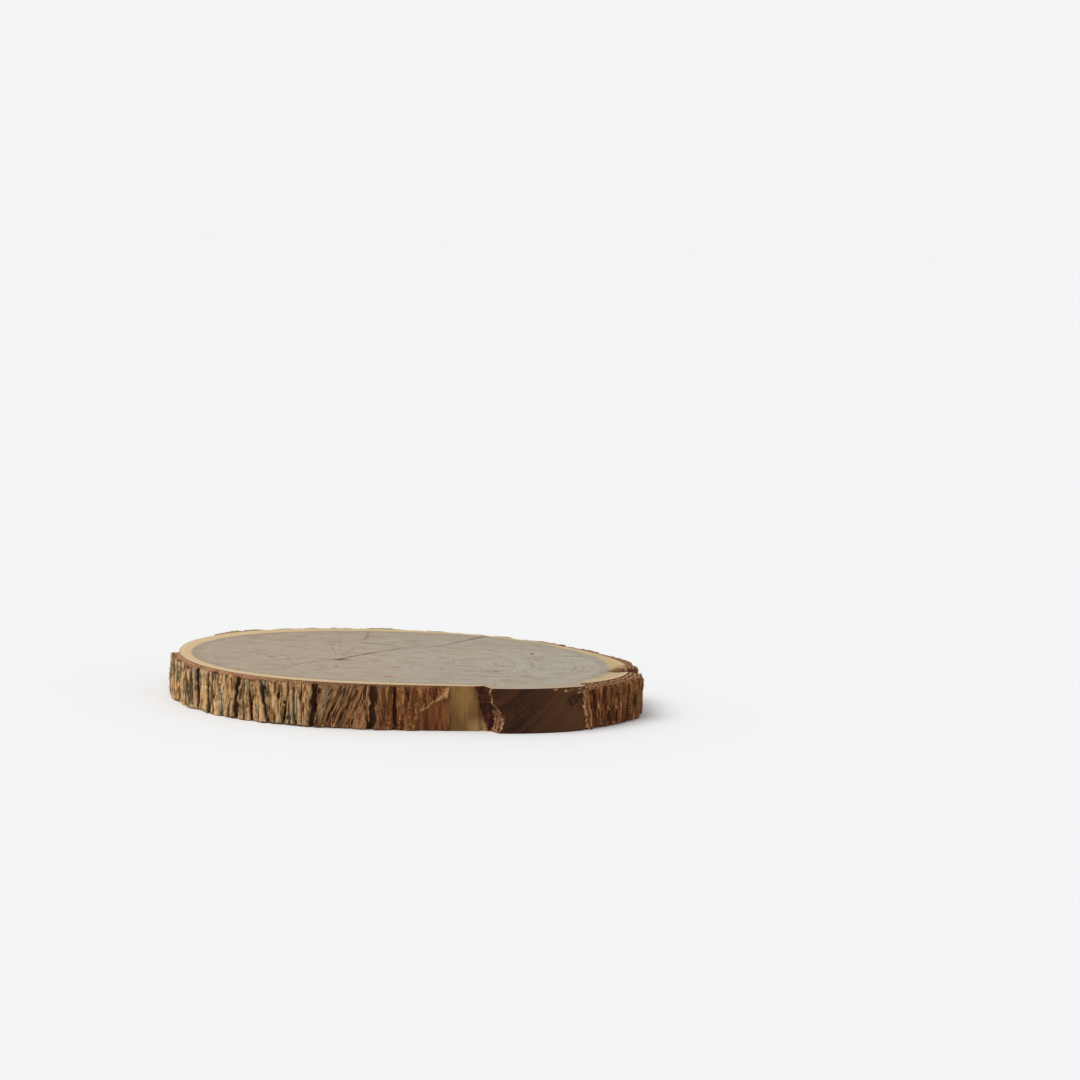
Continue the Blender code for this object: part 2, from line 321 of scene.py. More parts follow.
def noise(x, y, seed):
    """Smooth noise between -1 and 1 on a seeded lattice, one unit to a cell."""
    if seed not in LATTICES:
        LATTICES[seed] = np.random.default_rng(seed).uniform(-1, 1, (LATTICE, LATTICE))
    values = LATTICES[seed]
    column, row = np.floor(x).astype(int), np.floor(y).astype(int)
    across, along = x - column, y - row
    across, along = across * across * (3 - 2 * across), along * along * (3 - 2 * along)

    def corner(i, j):
        return values[(column + i) % LATTICE, (row + j) % LATTICE]

    near = corner(0, 0) * (1 - across) + corner(1, 0) * across
    far = corner(0, 1) * (1 - across) + corner(1, 1) * across
    return near * (1 - along) + far * along


def cells(across, wide, up, tall, seed):
    """Noise with cells of a width and a height in mm."""
    return noise(across / (wide * MM), up / (tall * MM), seed)


def patches(angle, per_degree, height, tall, seed):
    """Noise with so many cells to a degree, of a height in mm."""
    return noise(angle * per_degree, height / (tall * MM), seed)


def jitter(place, length, seed):
    """Noise along one line, with cells of a length in mm."""
    return noise(place / (length * MM), place * 0, seed)


def on_outline(angle, radius):
    """Points in plan, from angles and radii about the outline's centre."""
    turn = np.radians(angle)
    return CENTRE[0] + radius * np.cos(turn), CENTRE[1] + radius * np.sin(turn)


def grid_faces(columns, rows, closed=False):
    """Quads between rows x columns of points numbered row by row."""
    column = np.arange(columns if closed else columns - 1)
    row = np.arange(rows - 1)[:, None]
    low, high, after = row * columns, (row + 1) * columns, (column + 1) % columns
    quads = np.stack((low + column, low + after, high + after, high + column), -1)
    return quads.reshape(-1, 4).tolist()


def in_scene(name, data):
    """An object with some data, linked to the scene."""
    made = bpy.data.objects.new(name, data)
    bpy.context.scene.collection.objects.link(made)
    return made


def new_piece(name, points, faces, slots, materials, attributes, places):
    """A mesh on the part's one body, with numbers on its points and map places at its corners."""
    mesh = bpy.data.meshes.new(name)
    mesh.from_pydata(points.tolist(), [], faces)
    for material in materials:
        mesh.materials.append(material)
    mesh.polygons.foreach_set("material_index", slots)
    for label, values in attributes.items():
        mesh.attributes.new(label, "FLOAT", "POINT").data.foreach_set("value", np.asarray(values, float))
    if places is not None:
        layer = mesh.uv_layers.new(name="OFBake")
        layer.uv.foreach_set("vector", np.asarray(places, float).ravel())
    mesh.shade_smooth()
    mesh.set_sharp_from_angle(angle=math.radians(SHARP_ANGLE))
    piece = in_scene(name, mesh)
    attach(piece, "root")
    return piece


# Materials


def colour(red, green, blue):
    """A colour given as sRGB values from 0 to 255, made linear."""
    shares = [value / 255 for value in (red, green, blue)]
    return (*[s / 12.92 if s <= 0.04045 else ((s + 0.055) / 1.055) ** 2.4 for s in shares], 1)


class Nodes:
    """The node tree of a material or a world."""

    def __init__(self, owner):
        owner.use_nodes = True
        self.owner, self.tree = owner, owner.node_tree

    def feed(self, socket, value):
        """Links a socket to another, or sets its value."""
        if isinstance(value, bpy.types.NodeSocket):
            self.tree.links.new(value, socket)
        else:
            socket.default_value = value

    def node(self, kind, inputs, output=0, **settings):
        made = self.tree.nodes.new(kind)
        for key, value in settings.items():
            setattr(made, key, value)
        for key, value in inputs.items():
            self.feed(made.inputs[key], value)
        return made.outputs[output]


class Surface(Nodes):
    """A material, and short calls that add its nodes."""

    def __init__(self, name):
        super().__init__(bpy.data.materials.new(name))
        self.shader = self.tree.nodes["Principled BSDF"]
        self.place = self.node("ShaderNodeTexCoord", {}, "Object")

    def attribute(self, name):
        return self.node("ShaderNodeAttribute", {}, "Fac", attribute_name=name)

    def part(self, axis):
        """One coordinate of the place."""
        return self.node("ShaderNodeSeparateXYZ", {"Vector": self.place}, axis)

    def math(self, operation, a, b=0.0, c=0.0):
        return self.node("ShaderNodeMath", {0: a, 1: b, 2: c}, operation=operation)

    def vector(self, operation, a, b=(0, 0, 0), output=0):
        return self.node("ShaderNodeVectorMath", {0: a, 1: b}, output, operation=operation)

    def stretched(self, across, along, up):
        """The place, scaled by three numbers."""
        return self.vector("MULTIPLY", self.place, (across, along, up))

    def noise(self, vector, scale, detail=3.0, roughness=0.55, distortion=0.0):
        inputs = {"Vector": vector, "Scale": scale, "Detail": detail, "Roughness": roughness}
        return self.node("ShaderNodeTexNoise", {**inputs, "Distortion": distortion}, "Fac")

    def noise_along(self, value, scale, detail=2.0):
        """Noise of one number."""
        inputs = {"W": value, "Scale": scale, "Detail": detail}
        return self.node("ShaderNodeTexNoise", inputs, "Fac", noise_dimensions="1D")

    def span(self, value, low, high, bottom=0.0, top=1.0):
        """Value from low to high, turned into bottom to top and held there, with a smooth step."""
        inputs = {"Value": value, "From Min": low, "From Max": high, "To Min": bottom, "To Max": top}
        return self.node("ShaderNodeMapRange", inputs, interpolation_type="SMOOTHSTEP")

    def mix(self, share, a, b, blend="MIX"):
        inputs = {"Factor": share, 6: a, 7: b}
        return self.node("ShaderNodeMix", inputs, 2, data_type="RGBA", blend_type=blend)

    def tint(self, base, share, *rgb):
        """A base, and by a share a colour instead."""
        return self.mix(share, base, colour(*rgb))

    def above(self, base, rgb, value, low, high, share=1.0):
        """A base that turns to a colour where a value rises from low to high."""
        return self.tint(base, self.span(value, low, high, 0.0, share), *rgb)

    def below(self, base, rgb, value, low, high, share=1.0):
        """A base that turns to a colour where a value falls from high to low."""
        return self.tint(base, self.span(value, low, high, share, 0.0), *rgb)

    def bump(self, height, distance, strength=1.0):
        inputs = {"Height": height, "Distance": distance, "Strength": strength}
        return self.node("ShaderNodeBump", inputs)

    def line(self, flat_place, start_x, start_y, end_x, end_y, half_width, strength):
        """The strength on a straight line in plan, fading out over its half width."""
        start = Vector((start_x, start_y, 0)) * MM + Vector((*CENTRE, 0))
        way = Vector((end_x - start_x, end_y - start_y, 0)) * MM
        off = self.vector("SUBTRACT", flat_place, start)
        along = self.vector("DOT_PRODUCT", off, way.normalized(), "Value")
        inputs = {"Value": along, "From Max": way.length, "To Max": way.length}
        held = self.node("ShaderNodeMapRange", inputs)
        inputs = {0: way.normalized(), "Scale": held}
        nearest = self.node("ShaderNodeVectorMath", inputs, operation="SCALE")
        distance = self.vector("LENGTH", self.vector("SUBTRACT", off, nearest), output="Value")
        return self.span(distance, half_width * 0.3 * MM, half_width * MM, strength, 0.0)

    def spot(self, flat_place, at_x, at_y, half_length, half_width, strength):
        """The strength on a soft oval in plan."""
        centre = Vector((at_x, at_y, 0)) * MM + Vector((*CENTRE, 0))
        off = self.vector("SUBTRACT", flat_place, centre)
        scaled = self.vector("MULTIPLY", off, (1 / (half_length * MM), 1 / (half_width * MM), 0))
        return self.span(self.vector("LENGTH", scaled, output="Value"), 0.35, 1.0, strength, 0.0)

    def drawn(self, base, shape, flat_place, marks, *rgb):
        """A base with lines or spots of a colour drawn on it."""
        shares = [shape(flat_place, *mark) for mark in marks]
        largest = shares[0]
        for share in shares[1:]:
            largest = self.math("MAXIMUM", largest, share)
        return self.tint(base, largest, *rgb)

    def finish(self, base, roughness, normal, specular=0.3):
        self.feed(self.shader.inputs["Base Color"], base)
        self.feed(self.shader.inputs["Roughness"], roughness)
        self.feed(self.shader.inputs["Normal"], normal)
        self.shader.inputs["Specular IOR Level"].default_value = specular
        return self.owner


def heartwood(s, side, mottle, grit, rings):
    """Grey-brown mottled wood, pinkish at the left, with rings of uneven widths."""
    shifted = s.math("MULTIPLY_ADD", s.noise(s.place, 22, 3), 0.12, side)
    heart = s.above(colour(183, 164, 143), (178, 170, 155), shifted, -0.03, 0.14)
    heart = s.above(heart, (164, 147, 126), s.part("Y"), 0.0, 0.1, 0.5)
    heart = s.above(heart, (148, 129, 104), mottle, 0.5, 0.72, 0.65)
    heart = s.below(heart, (190, 180, 166), mottle, 0.28, 0.48, 0.6)
    blotches = s.noise(s.place, 75, 5, 0.6, 0.6)
    heart = s.above(heart, (150, 132, 106), blotches, 0.52, 0.72, 0.4)
    heart = s.above(heart, (140, 122, 98), grit, 0.5, 0.7, 0.4)
    shown = s.span(side, -0.02, 0.07, 0.26, 0.42)
    shown = s.math("MULTIPLY", shown, s.span(blotches, 0.36, 0.6, 0.25, 1))
    heart = s.tint(heart, s.math("MULTIPLY", s.span(rings, 0.5, 0.66), shown), 138, 126, 108)
    # Tan wood by the sawn stub
    heart = s.tint(heart, s.math("MULTIPLY", s.attribute("tan"), 0.85), 190, 164, 132)
    # A painted highlight: a light line along the top face's edge by the sawn stub
    return s.tint(heart, s.attribute("painted_edge_highlight"), 216, 196, 168)


def top_marks(s, base):
    """The cracks' lines, with painted shade along the open ones, the stains and the specks of the top face.
    """
    flat_place = s.vector("MULTIPLY", s.place, (1, 1, 0))
    swirl = s.node("ShaderNodeTexNoise", {"Vector": s.place, "Scale": 90}, "Color")
    wavy = s.vector("ADD", flat_place, s.vector("MULTIPLY", swirl, (0.003, 0.003, 0)))
    wavy = s.vector("SUBTRACT", wavy, (0.0015, 0.0015, 0))
    base = s.drawn(base, s.line, wavy, BROWN_LINES, 112, 82, 52)
    base = s.drawn(base, s.spot, wavy, STAINS, 172, 128, 76)
    # Painted shade along the open cracks, in grey
    base = s.drawn(base, s.line, wavy, GREY_LINES, 78, 70, 62)
    return s.drawn(base, s.spot, wavy, DARK_SPECKS, 104, 78, 50)


def sawn_wood(name, marked):
    """End grain: heartwood, pale sapwood that is ragged at the right, saw marks, and the top's marks."""
    s = Surface(name)
    side = s.part("X")
    mottle = s.noise(s.stretched(80, 140, 1), 1, 5, 0.66, 0.6)
    grit = s.noise(s.place, 700, 3, 0.6)
    rings = s.noise_along(s.math("MULTIPLY_ADD", s.noise(s.place, 30, 2), 0.016, s.attribute("ring")), 64)

    def at_right(bottom, top):
        return s.span(side, 0.04, 0.1, bottom, top)

    heart = heartwood(s, side, mottle, grit, rings)
    ragged = s.math("MULTIPLY", s.noise(s.place, 70, 4, 0.6), at_right(0.0, 0.012))
    sap = s.math("SUBTRACT", s.attribute("sap"), ragged)
    sap = s.math("MULTIPLY_ADD", s.noise(s.place, 160, 3), 0.0016, sap)
    sap = s.math("ADD", sap, at_right(0.0, 0.006))
    heart = s.above(heart, (140, 120, 102), sap, -0.006, 0.0008, 0.3)
    pale = s.above(colour(218, 190, 142), (198, 171, 126), side, -0.1, 0.1)
    pale = s.above(pale, (204, 172, 116), rings, 0.45, 0.7, 0.3)
    pale = s.tint(pale, s.attribute("bast"), 224, 200, 164)
    base = s.mix(s.span(sap, 0.0004, at_right(0.0018, 0.0035)), heart, pale)
    base = s.tint(base, s.math("MULTIPLY", s.attribute("cambium"), 0.6), 150, 104, 66)
    pores = s.noise(s.place, 1800, 2, 0.6)
    base = s.above(base, (122, 100, 76), pores, 0.56, 0.72, 0.5)
    if marked:
        base = top_marks(s, base)
    # The open wedge: dark brown, its own colour with painted shade of its inside, painted a little past its
    # edge
    rotten = s.above(colour(84, 48, 22), (128, 82, 44), grit, 0.4, 0.65)
    base = s.mix(s.attribute("wedge"), base, rotten)
    # Painted shade in the cracks' grooves and in the pith's slit
    base = s.tint(base, s.math("MULTIPLY", s.attribute("crack"), 0.9), 58, 42, 30)
    saw_marks = s.noise(s.stretched(20, 700, 1), 1, 2, 0.5)
    relief = s.math("MULTIPLY_ADD", saw_marks, 0.6, s.math("MULTIPLY", pores, 0.4))
    return s.finish(base, s.span(mottle, 0.3, 0.7, 0.6, 0.75), s.bump(relief, 0.0003, 0.5))


def torn_strip(s, base):
    """Pale splinters over a colour, with painted shade in brown between them, where the attribute torn says
    so.
    """
    threads = s.noise(s.stretched(1, 1, 0.12), 760, 2, 0.5)
    # The brown between the pale threads is painted shade among the splinters
    pale = s.above(colour(194, 144, 100), (92, 55, 34), threads, 0.4, 0.6)
    ragged = s.math("MULTIPLY_ADD", s.math("SUBTRACT", threads, 0.5), 0.35, s.attribute("torn"))
    return s.mix(s.span(ragged, 0.34, 0.5), base, pale)


def bare_wood():
    """The wood's bare side: ochre with faint fibres, and rotten beside the stub."""
    s = Surface("bare_side_wood")
    fibres = s.noise(s.stretched(1, 1, 0.05), 1500, 4, 0.6)
    blotches = s.noise(s.stretched(1, 1, 0.4), 110, 3)
    wood = s.above(colour(144, 108, 62), (112, 80, 42), blotches, 0.35, 0.65)
    wood = s.above(wood, (78, 50, 24), fibres, 0.42, 0.7, 0.45)
    wood = s.tint(wood, s.attribute("pale"), 196, 160, 108)
    rot = s.noise(s.stretched(1, 1, 0.4), 520, 3, 0.55)
    dark = s.above(colour(46, 21, 14), (98, 48, 29), rot, 0.34, 0.72)
    base = torn_strip(s, s.mix(s.attribute("hollow"), wood, dark))
    height = s.math("MULTIPLY_ADD", fibres, 0.5, s.math("MULTIPLY", rot, s.attribute("hollow")))
    return s.finish(base, 0.75, s.bump(height, 0.0006, 0.7), 0.15)


def stub_wood():
    """The stub's sawn face: weathered dark brown, with saw streaks that lean to the right."""
    s = Surface("sawn_stub")
    streaks = s.noise_along(s.attribute("saw"), 260, 3)
    clouds = s.noise(s.place, 130, 4, 0.6)
    fine = s.noise(s.place, 1300, 4, 0.65)
    base = s.above(colour(46, 26, 16), (62, 36, 21), clouds, 0.35, 0.65)
    base = s.above(base, (84, 50, 29), streaks, 0.42, 0.72, 0.6)
    base = s.above(base, (34, 19, 14), fine, 0.5, 0.66, 0.7)
    base = s.below(base, (84, 52, 34), fine, 0.34, 0.48, 0.5)
    base = s.tint(base, s.attribute("warm"), 90, 58, 34)
    base = torn_strip(s, base)
    # Very dark patches in the pocket by the stub's top right corner, and painted shade on the step wall left
    # of the stub's face
    base = s.tint(base, s.attribute("rough"), 40, 20, 14)
    height = s.math("MULTIPLY_ADD", streaks, 0.6, s.math("MULTIPLY", fine, 0.6))
    return s.finish(base, 0.8, s.bump(height, 0.0005, 0.8), 0.12)


def rough_bark():
    """Fibrous bark: tan or grey-olive strands, redder where it is flat, with painted shade, near black, deep
    in its fissures and creases.
    """
    s = Surface("rough_bark")
    hollow, strand, red, crest = (s.attribute(n) for n in ("hollow", "strand", "red", "crest"))
    fine = s.noise(s.stretched(1, 1, 0.14), 2300, 4, 0.68, 0.6)
    specks = s.noise(s.stretched(1, 1, 0.6), 1500, 3, 0.65)
    hue = s.math("MULTIPLY_ADD", specks, 0.35, strand)
    bright = s.math("MULTIPLY_ADD", fine, 0.5, crest)
    tan = s.above(colour(156, 112, 70), (228, 182, 128), bright, 0.4, 0.78)
    tan = s.above(tan, (240, 212, 168), bright, 0.95, 1.35)
    grey = s.above(colour(94, 80, 54), (196, 178, 142), bright, 0.45, 1.2)
    base = s.mix(s.span(hue, 0.68, 0.84), tan, grey)
    rust = s.above(colour(84, 46, 27), (132, 84, 50), bright, 0.45, 0.95)
    rust = s.above(rust, (184, 134, 86), bright, 1.05, 1.3)
    rust = s.above(rust, (104, 86, 60), hue, 0.75, 0.9, 0.6)
    base = s.mix(red, base, rust)
    base = s.mix(s.attribute("tone"), base, s.mix(1.0, base, colour(204, 166, 138), "MULTIPLY"))
    # Painted highlights on the scales' edges, the flake's curl, round the small hollows and on the bark's end
    # over the stub
    base = s.tint(base, s.attribute("painted_highlight"), 208, 162, 110)
    base = s.below(base, (64, 44, 26), fine, 0.28, 0.46, 0.5)
    # Painted shade, near black, in the fissures and between the strands
    base = s.mix(s.span(hollow, 0.2, 0.7), base, s.tint(colour(46, 31, 19), red, 60, 30, 18))
    base = s.above(base, (74, 50, 31), hollow, 0.7, 1.0)
    height = s.math("MULTIPLY_ADD", fine, 0.8, s.math("MULTIPLY", specks, 0.4))
    return s.finish(base, 0.95, s.bump(height, 0.0006, 0.8), 0.1)


def cut_bark():
    """The bark's own sawn rim: reddish crumbling layers, paler at the back, with painted shade where it is
    thin at the front, sunk under the top or notched.
    """
    s = Surface("sawn_bark")
    rim, layered, crumbly = (s.attribute(n) for n in ("rim", "layered", "crumbly"))
    grain = s.noise(s.place, 1100, 4, 0.65)
    layers = s.noise_along(s.math("MULTIPLY_ADD", grain, 0.25, rim), 7)

    def two_tones(light, dark):
        return s.above(colour(*light), dark, layers, 0.4, 0.62)

    def where(value, low, high, bottom, top, stretch):
        return s.math("MULTIPLY", s.span(value, low, high, bottom, top), stretch)

    brown = two_tones((142, 96, 60), (92, 58, 36))
    # Over the front the brown is painted shade along the thin rim
    base = s.mix(s.attribute("brown"), two_tones((208, 156, 118), (156, 102, 70)), brown)
    base = s.mix(s.attribute("weathered"), base, two_tones((182, 160, 112), (140, 116, 72)))
    shifted = s.math("MULTIPLY_ADD", grain, 0.05, rim)
    shifted = s.math("MULTIPLY_ADD", s.noise(s.place, 60, 1), 0.14, shifted)
    lines = s.math("SINE", s.math("MULTIPLY", shifted, 20))
    base = s.tint(base, where(lines, 0.2, 0.9, 0, 0.75, layered), 210, 168, 112)
    base = s.tint(base, where(lines, -0.9, -0.3, 0.85, 0, layered), 66, 38, 22)
    base = s.tint(base, where(grain, 0.5, 0.68, 0, 1, crumbly), 84, 50, 34)
    base = s.tint(base, where(grain, 0.28, 0.42, 0.7, 0, crumbly), 232, 196, 156)
    # Painted shade in dark brown where the rim lies sunk or notched, with the notch's own colour
    base = s.mix(s.attribute("deep"), base, s.tint(colour(70, 38, 19), grain, 108, 64, 33))
    return s.finish(base, 0.9, s.bump(grain, 0.0008, 0.9))


def loose_fibre():
    """Dry fibres that stand off the bark."""
    s = Surface("loose_fibre")
    base = s.above(colour(222, 178, 122), (150, 118, 80), s.noise(s.place, 60, 2), 0.35, 0.65)
    return s.finish(base, 0.85, s.bump(s.noise(s.place, 3000, 2), 0.0001, 0.4))


# The wood

WOOD_COLUMN = 0.62  # degrees
EDGE_COLUMN = 0.1  # degrees, at the stub's torn edge and in the hollow
EDGE_STRETCH = (-70.6, -64.2)
CRACK_GAP = 0.5  # degrees either side of a crack with no other column
CRACK_OFFSETS = (-1, -0.5, 0, 0.5, 1)
CRACK_REACH = 7  # degrees over which the columns beside a crack bend with it
WALL_ROWS = 37
TOP_RINGS, UNDER_RINGS = 84, 20
INNER_RINGS = (0.005, 0.012, 0.02, 0.03)  # the first rings round the pith, as shares of the way out
OUTER_RINGS_FROM = 0.042
RADIAL_FROM = 0.9  # beyond this share of the wood's radius the columns run straight out from the centre
ROT_LEFT_FOOT, ROT_LEFT_TOP = -67.0, -70.9  # the rotten strip's left side
POCKET_AT, POCKET_UP = -46.6, 14.5 * MM  # the rough pocket near the stub's top right corner
POCKET_WIDTH, POCKET_HEIGHT = 3.0, 4.2 * MM
CHIPS_AT, FLECKS_AT = -52.6, -47.2  # pale chips and flecks along the stub's top edge
STUB_RINGS_FROM, STUB_RINGS_TO = (-68.6, -67.4), (-41.0, -38.5)  # where the stub has no sapwood
SAW_LEAN = math.radians(50)


def wood_columns():
    """Angles of the wood's columns, the crack each belongs to, its side of it, and the cracks' angles."""
    ends = [points[-1] for points, *__ in CRACKS]
    at = [math.degrees(math.atan2(y, x)) for x, y in ends]
    around = np.arange(EDGE_STRETCH[1], 360 + EDGE_STRETCH[0], WOOD_COLUMN)
    plain = np.concatenate((around, np.arange(*EDGE_STRETCH, EDGE_COLUMN) + 360))
    plain = (plain + 180) % 360 - 180
    columns = [(angle, -1, 0) for angle in plain if all(abs(angle - crack) > CRACK_GAP for crack in at)]
    for index, angle in enumerate(at):
        columns += [(angle, index, side) for side in CRACK_OFFSETS]
    columns.sort(key=lambda column: (column[0], column[2]))
    angles, owners, sides = (np.array(values) for values in zip(*columns))
    return angles, owners, sides, at


def torn_edge(height):
    """The angle of the stub's jagged left edge, which swings right towards the foot."""
    past = 1 - height / THICKNESS - STUB_EDGE_FURTHEST
    edge = STUB_EDGE_MIDDLE - STUB_EDGE_SWING * np.cos(2 * math.pi * past / STUB_EDGE_PERIOD)
    return edge + 0.4 * jitter(height, 2.6, 11) + 0.22 * jitter(height, 0.9, 12)


def stub_pocket(angle, height):
    """1 in the rough pocket near the stub's top right corner."""
    across = (angle - POCKET_AT) / POCKET_WIDTH
    up = (height - POCKET_UP) / POCKET_HEIGHT
    return np.exp(-((across**2 + up**2) ** 2))


def wood_wall(angle, height):
    """The wood's radius on its side, and how far a point is on the stub."""
    edge = torn_edge(height)
    on_stub = rise(angle, edge - 0.12, edge + 0.12) * (1 - rise(angle, STUB_TO - 0.4, STUB_TO + 1.4))
    width = HOLLOW_WIDTH * (HOLLOW_FOOT + (1 - HOLLOW_FOOT) * height / THICKNESS)
    hollow = bell(angle - HOLLOW_MIDDLE, width) * (1 - on_stub)
    rough = 0.5 + 0.5 * patches(angle, 2.2, height, 1.6, 13)
    plain = wood_radius(angle) + BARE_SKIN - HOLLOW_DEPTH * hollow * (1 - 0.45 * rough)
    splinters = bell(angle - edge - 0.7, 0.9) * on_stub
    worn = splinters * 0.7 * MM * (0.5 + 0.5 * patches(angle, 2.5, height, 2.2, 14))
    pocket = stub_pocket(angle, height) * 1.1 * MM * (0.5 + 0.5 * patches(angle, 1.6, height, 1.2, 15))
    return plain * (1 - on_stub) + (stub_radius(angle) - worn - pocket) * on_stub, on_stub


def sawn_rings(angles, shares, height):
    """A sawn face's points in plan: rings out from the pith, then straight out from the centre."""
    pith_x, pith_y = CENTRE + PITH
    inner_x, inner_y = on_outline(angles, wood_radius(angles) * RADIAL_FROM)
    edge = wood_wall(angles, np.full(len(angles), height - FOOT))[0]
    part = np.minimum(shares / RADIAL_FROM, 1)
    past = np.maximum((shares - RADIAL_FROM) / (1 - RADIAL_FROM), 0)
    out_x, out_y = on_outline(angles, wood_radius(angles) * RADIAL_FROM * (1 - past) + edge * past)
    x = np.where(shares < RADIAL_FROM, pith_x * (1 - part) + inner_x * part, out_x)
    y = np.where(shares < RADIAL_FROM, pith_y * (1 - part) + inner_y * part, out_y)
    return x, y


def sawn_face(angles, owners, sides, cracks_at, rings, height, cut):
    """A sawn face's points, with its cracks cut in or not, how much painted shade those get, and shares of
    the way out.
    """
    shares = np.concatenate((INNER_RINGS, np.linspace(OUTER_RINGS_FROM, 1, rings)))[:, None]
    x, y = sawn_rings(angles, shares, height)
    z, dark = np.full(x.shape, height), np.zeros(x.shape)
    pith_x, pith_y = CENTRE + PITH
    for index, ((points, half_width, depth, end), at) in enumerate(zip(CRACKS, cracks_at)):
        column = int(np.flatnonzero((owners == index) & (sides == 0))[0])
        away = np.hypot(x[:, column] - pith_x, y[:, column] - pith_y)
        path = np.array(points) * MM + CENTRE
        path_away = np.hypot(path[:, 0] - pith_x, path[:, 1] - pith_y)
        shift_x = np.interp(away, path_away, path[:, 0]) - x[:, column] + 0.35 * MM * jitter(away, 2.6, 25)
        shift_y = np.interp(away, path_away, path[:, 1]) - y[:, column]
        held = rise(away, 0, path_away[0] + 2 * MM) * (1 - rise(away, path_away[-2], path_away[-1]))
        beside = bell(angles - at, CRACK_REACH)
        x = x + (shift_x * held)[:, None] * beside
        y = y + (shift_y * held)[:, None] * beside
        opened = rise(away, path_away[0], path_away[0] + 3 * MM) * (1 - rise(away, end - 8 * MM, end))
        opened = (opened * (0.7 + 0.45 * jitter(away, 5, 16)))[:, None]
        way = np.arctan2(np.gradient(y[:, column]), np.gradient(x[:, column]))[:, None]
        mine = owners == index
        aside = np.where(mine, sides, 0) * (half_width * opened + 0.02 * MM)
        x, y = x - np.sin(way) * aside, y + np.cos(way) * aside
        z = z + cut * mine * (1 - np.abs(sides)) * opened * depth
        dark = np.maximum(dark, mine * (np.abs(sides) < 0.9) * opened)
    return x, y, z, dark, np.broadcast_to(shares, x.shape)


def open_wedge(x, y, spare):
    """1 in the wedge that opens between sapwood and bark at the right, 0 beyond it and a spare width."""
    tip, way = np.array(WEDGE_TIP) * MM + CENTRE, np.array(WEDGE_WAY)
    length = np.hypot(*way)
    along = ((x - tip[0]) * way[0] + (y - tip[1]) * way[1]) / length
    across = np.abs((y - tip[1]) * way[0] - (x - tip[0]) * way[1]) / length
    share = np.clip(along / (length * MM), 0, 1.2)
    half_width = (WEDGE_NARROW + WEDGE_WIDENS * share) * MM * (0.85 + 0.3 * jitter(along, 1.8, 24)) + spare
    return (1 - rise(across, half_width * 0.7, half_width)) * rise(share, -0.05, 0.12) * (along > 0)


def pith_slit(x, y):
    """1 in the short slit at the pith, 0 outside."""
    turn = math.radians(SLIT_TURN)
    off_x, off_y = x - CENTRE[0] - PITH[0] - SLIT_ASIDE, y - CENTRE[1] - PITH[1]
    along = off_x * math.cos(turn) + off_y * math.sin(turn)
    across = off_y * math.cos(turn) - off_x * math.sin(turn)
    return np.clip(2 - 2 * (along / SLIT_LENGTH) ** 2 - 2 * (across / SLIT_WIDTH) ** 2, 0, 1)


# Where the wood's faces lie on its map: (left, bottom, width, height) as shares of the map
TOP_PATCH = (0.008, 0.345, 0.75, 0.645)
UNDER_PATCH = (0.768, 0.79, 0.224, 0.2)
# Strips of the wood's side, as (from, to, left, bottom, width, height)
SIDE_STRIPS = (
    (-80, -42, 0.008, 0.14, 0.7, 0.195),
    (-42, 149, 0.76, 0.70, 0.232, 0.02),
    (149, 185, 0.008, 0.008, 0.42, 0.125),
    (185, 280, 0.76, 0.67, 0.232, 0.02),
)


def wood_places(points, corners, sides_first, sides_count):
    """Places on the wood's map: the two sawn faces in plan, and strips of its side."""
    flat = points[corners]
    places = np.zeros((*corners.shape, 2))

    def put(chosen, patch, x, y):
        places[chosen, :, 0] = patch[0] + patch[2] * x
        places[chosen, :, 1] = patch[1] + patch[3] * y

    number = np.arange(len(corners))
    up = flat[..., 2].mean(1) > FOOT + THICKNESS / 2
    on_side = (number >= sides_first) & (number < sides_first + sides_count)
    # The slice is less deep than wide, so its plan is stretched over the patch
    low, high = points[:, :2].min(0), points[:, :2].max(0)
    across, along = np.moveaxis((flat[..., :2] - low) / (high - low), -1, 0)
    on_top, under = ~on_side & up, ~on_side & ~up
    put(on_top, TOP_PATCH, across[on_top], along[on_top])
    put(under, UNDER_PATCH, 1 - across[under], along[under])
    angle = np.degrees(np.arctan2(flat[..., 1] - CENTRE[1], flat[..., 0] - CENTRE[0]))
    first = SIDE_STRIPS[0][0]
    turned = (angle - first) % 360 + first
    # A face that crosses the seam keeps its corners on one side of it, in the last strip
    wide = np.ptp(turned, axis=1) > 180
    turned[wide] = np.where(turned[wide] > first + 180, turned[wide], turned[wide] + 360)
    middle = np.minimum(turned.mean(1), SIDE_STRIPS[-1][1] - 0.1)
    for start, end, *patch in SIDE_STRIPS:
        chosen = on_side & (middle >= start) & (middle < end)
        x = np.clip((turned[chosen] - start) / (end - start), 0, 1)
        put(chosen, patch, x, (flat[chosen][..., 2] - FOOT) / THICKNESS)
    return places


def wood_slots(angles, heights, faces, side_first, side_count):
    """Materials face by face: the top 0, the underside 1, the side 2, and the stub's sawn face 3."""
    count, bands = len(angles), len(heights) + 1
    slots = np.zeros(len(faces), int)
    slots[side_first : side_first + side_count] = 2
    slots[side_first + side_count :] = 1
    slots[len(faces) - 2 * count : len(faces) - count] = 0
    middle = (angles + np.append(angles[1:], angles[0] + 360)) / 2
    near_stub = (middle > STUB_EDGE_MIDDLE - 2.6) & (middle < STUB_TO + 0.5)
    band_height = np.repeat(np.append(heights[:, 0], 0) + THICKNESS / (WALL_ROWS - 1) / 2, count)
    beyond = np.tile(middle, bands) > torn_edge(band_height)
    slots[slots == 2] = np.where(np.tile(near_stub, bands) & beyond, 3, 2)
    return slots


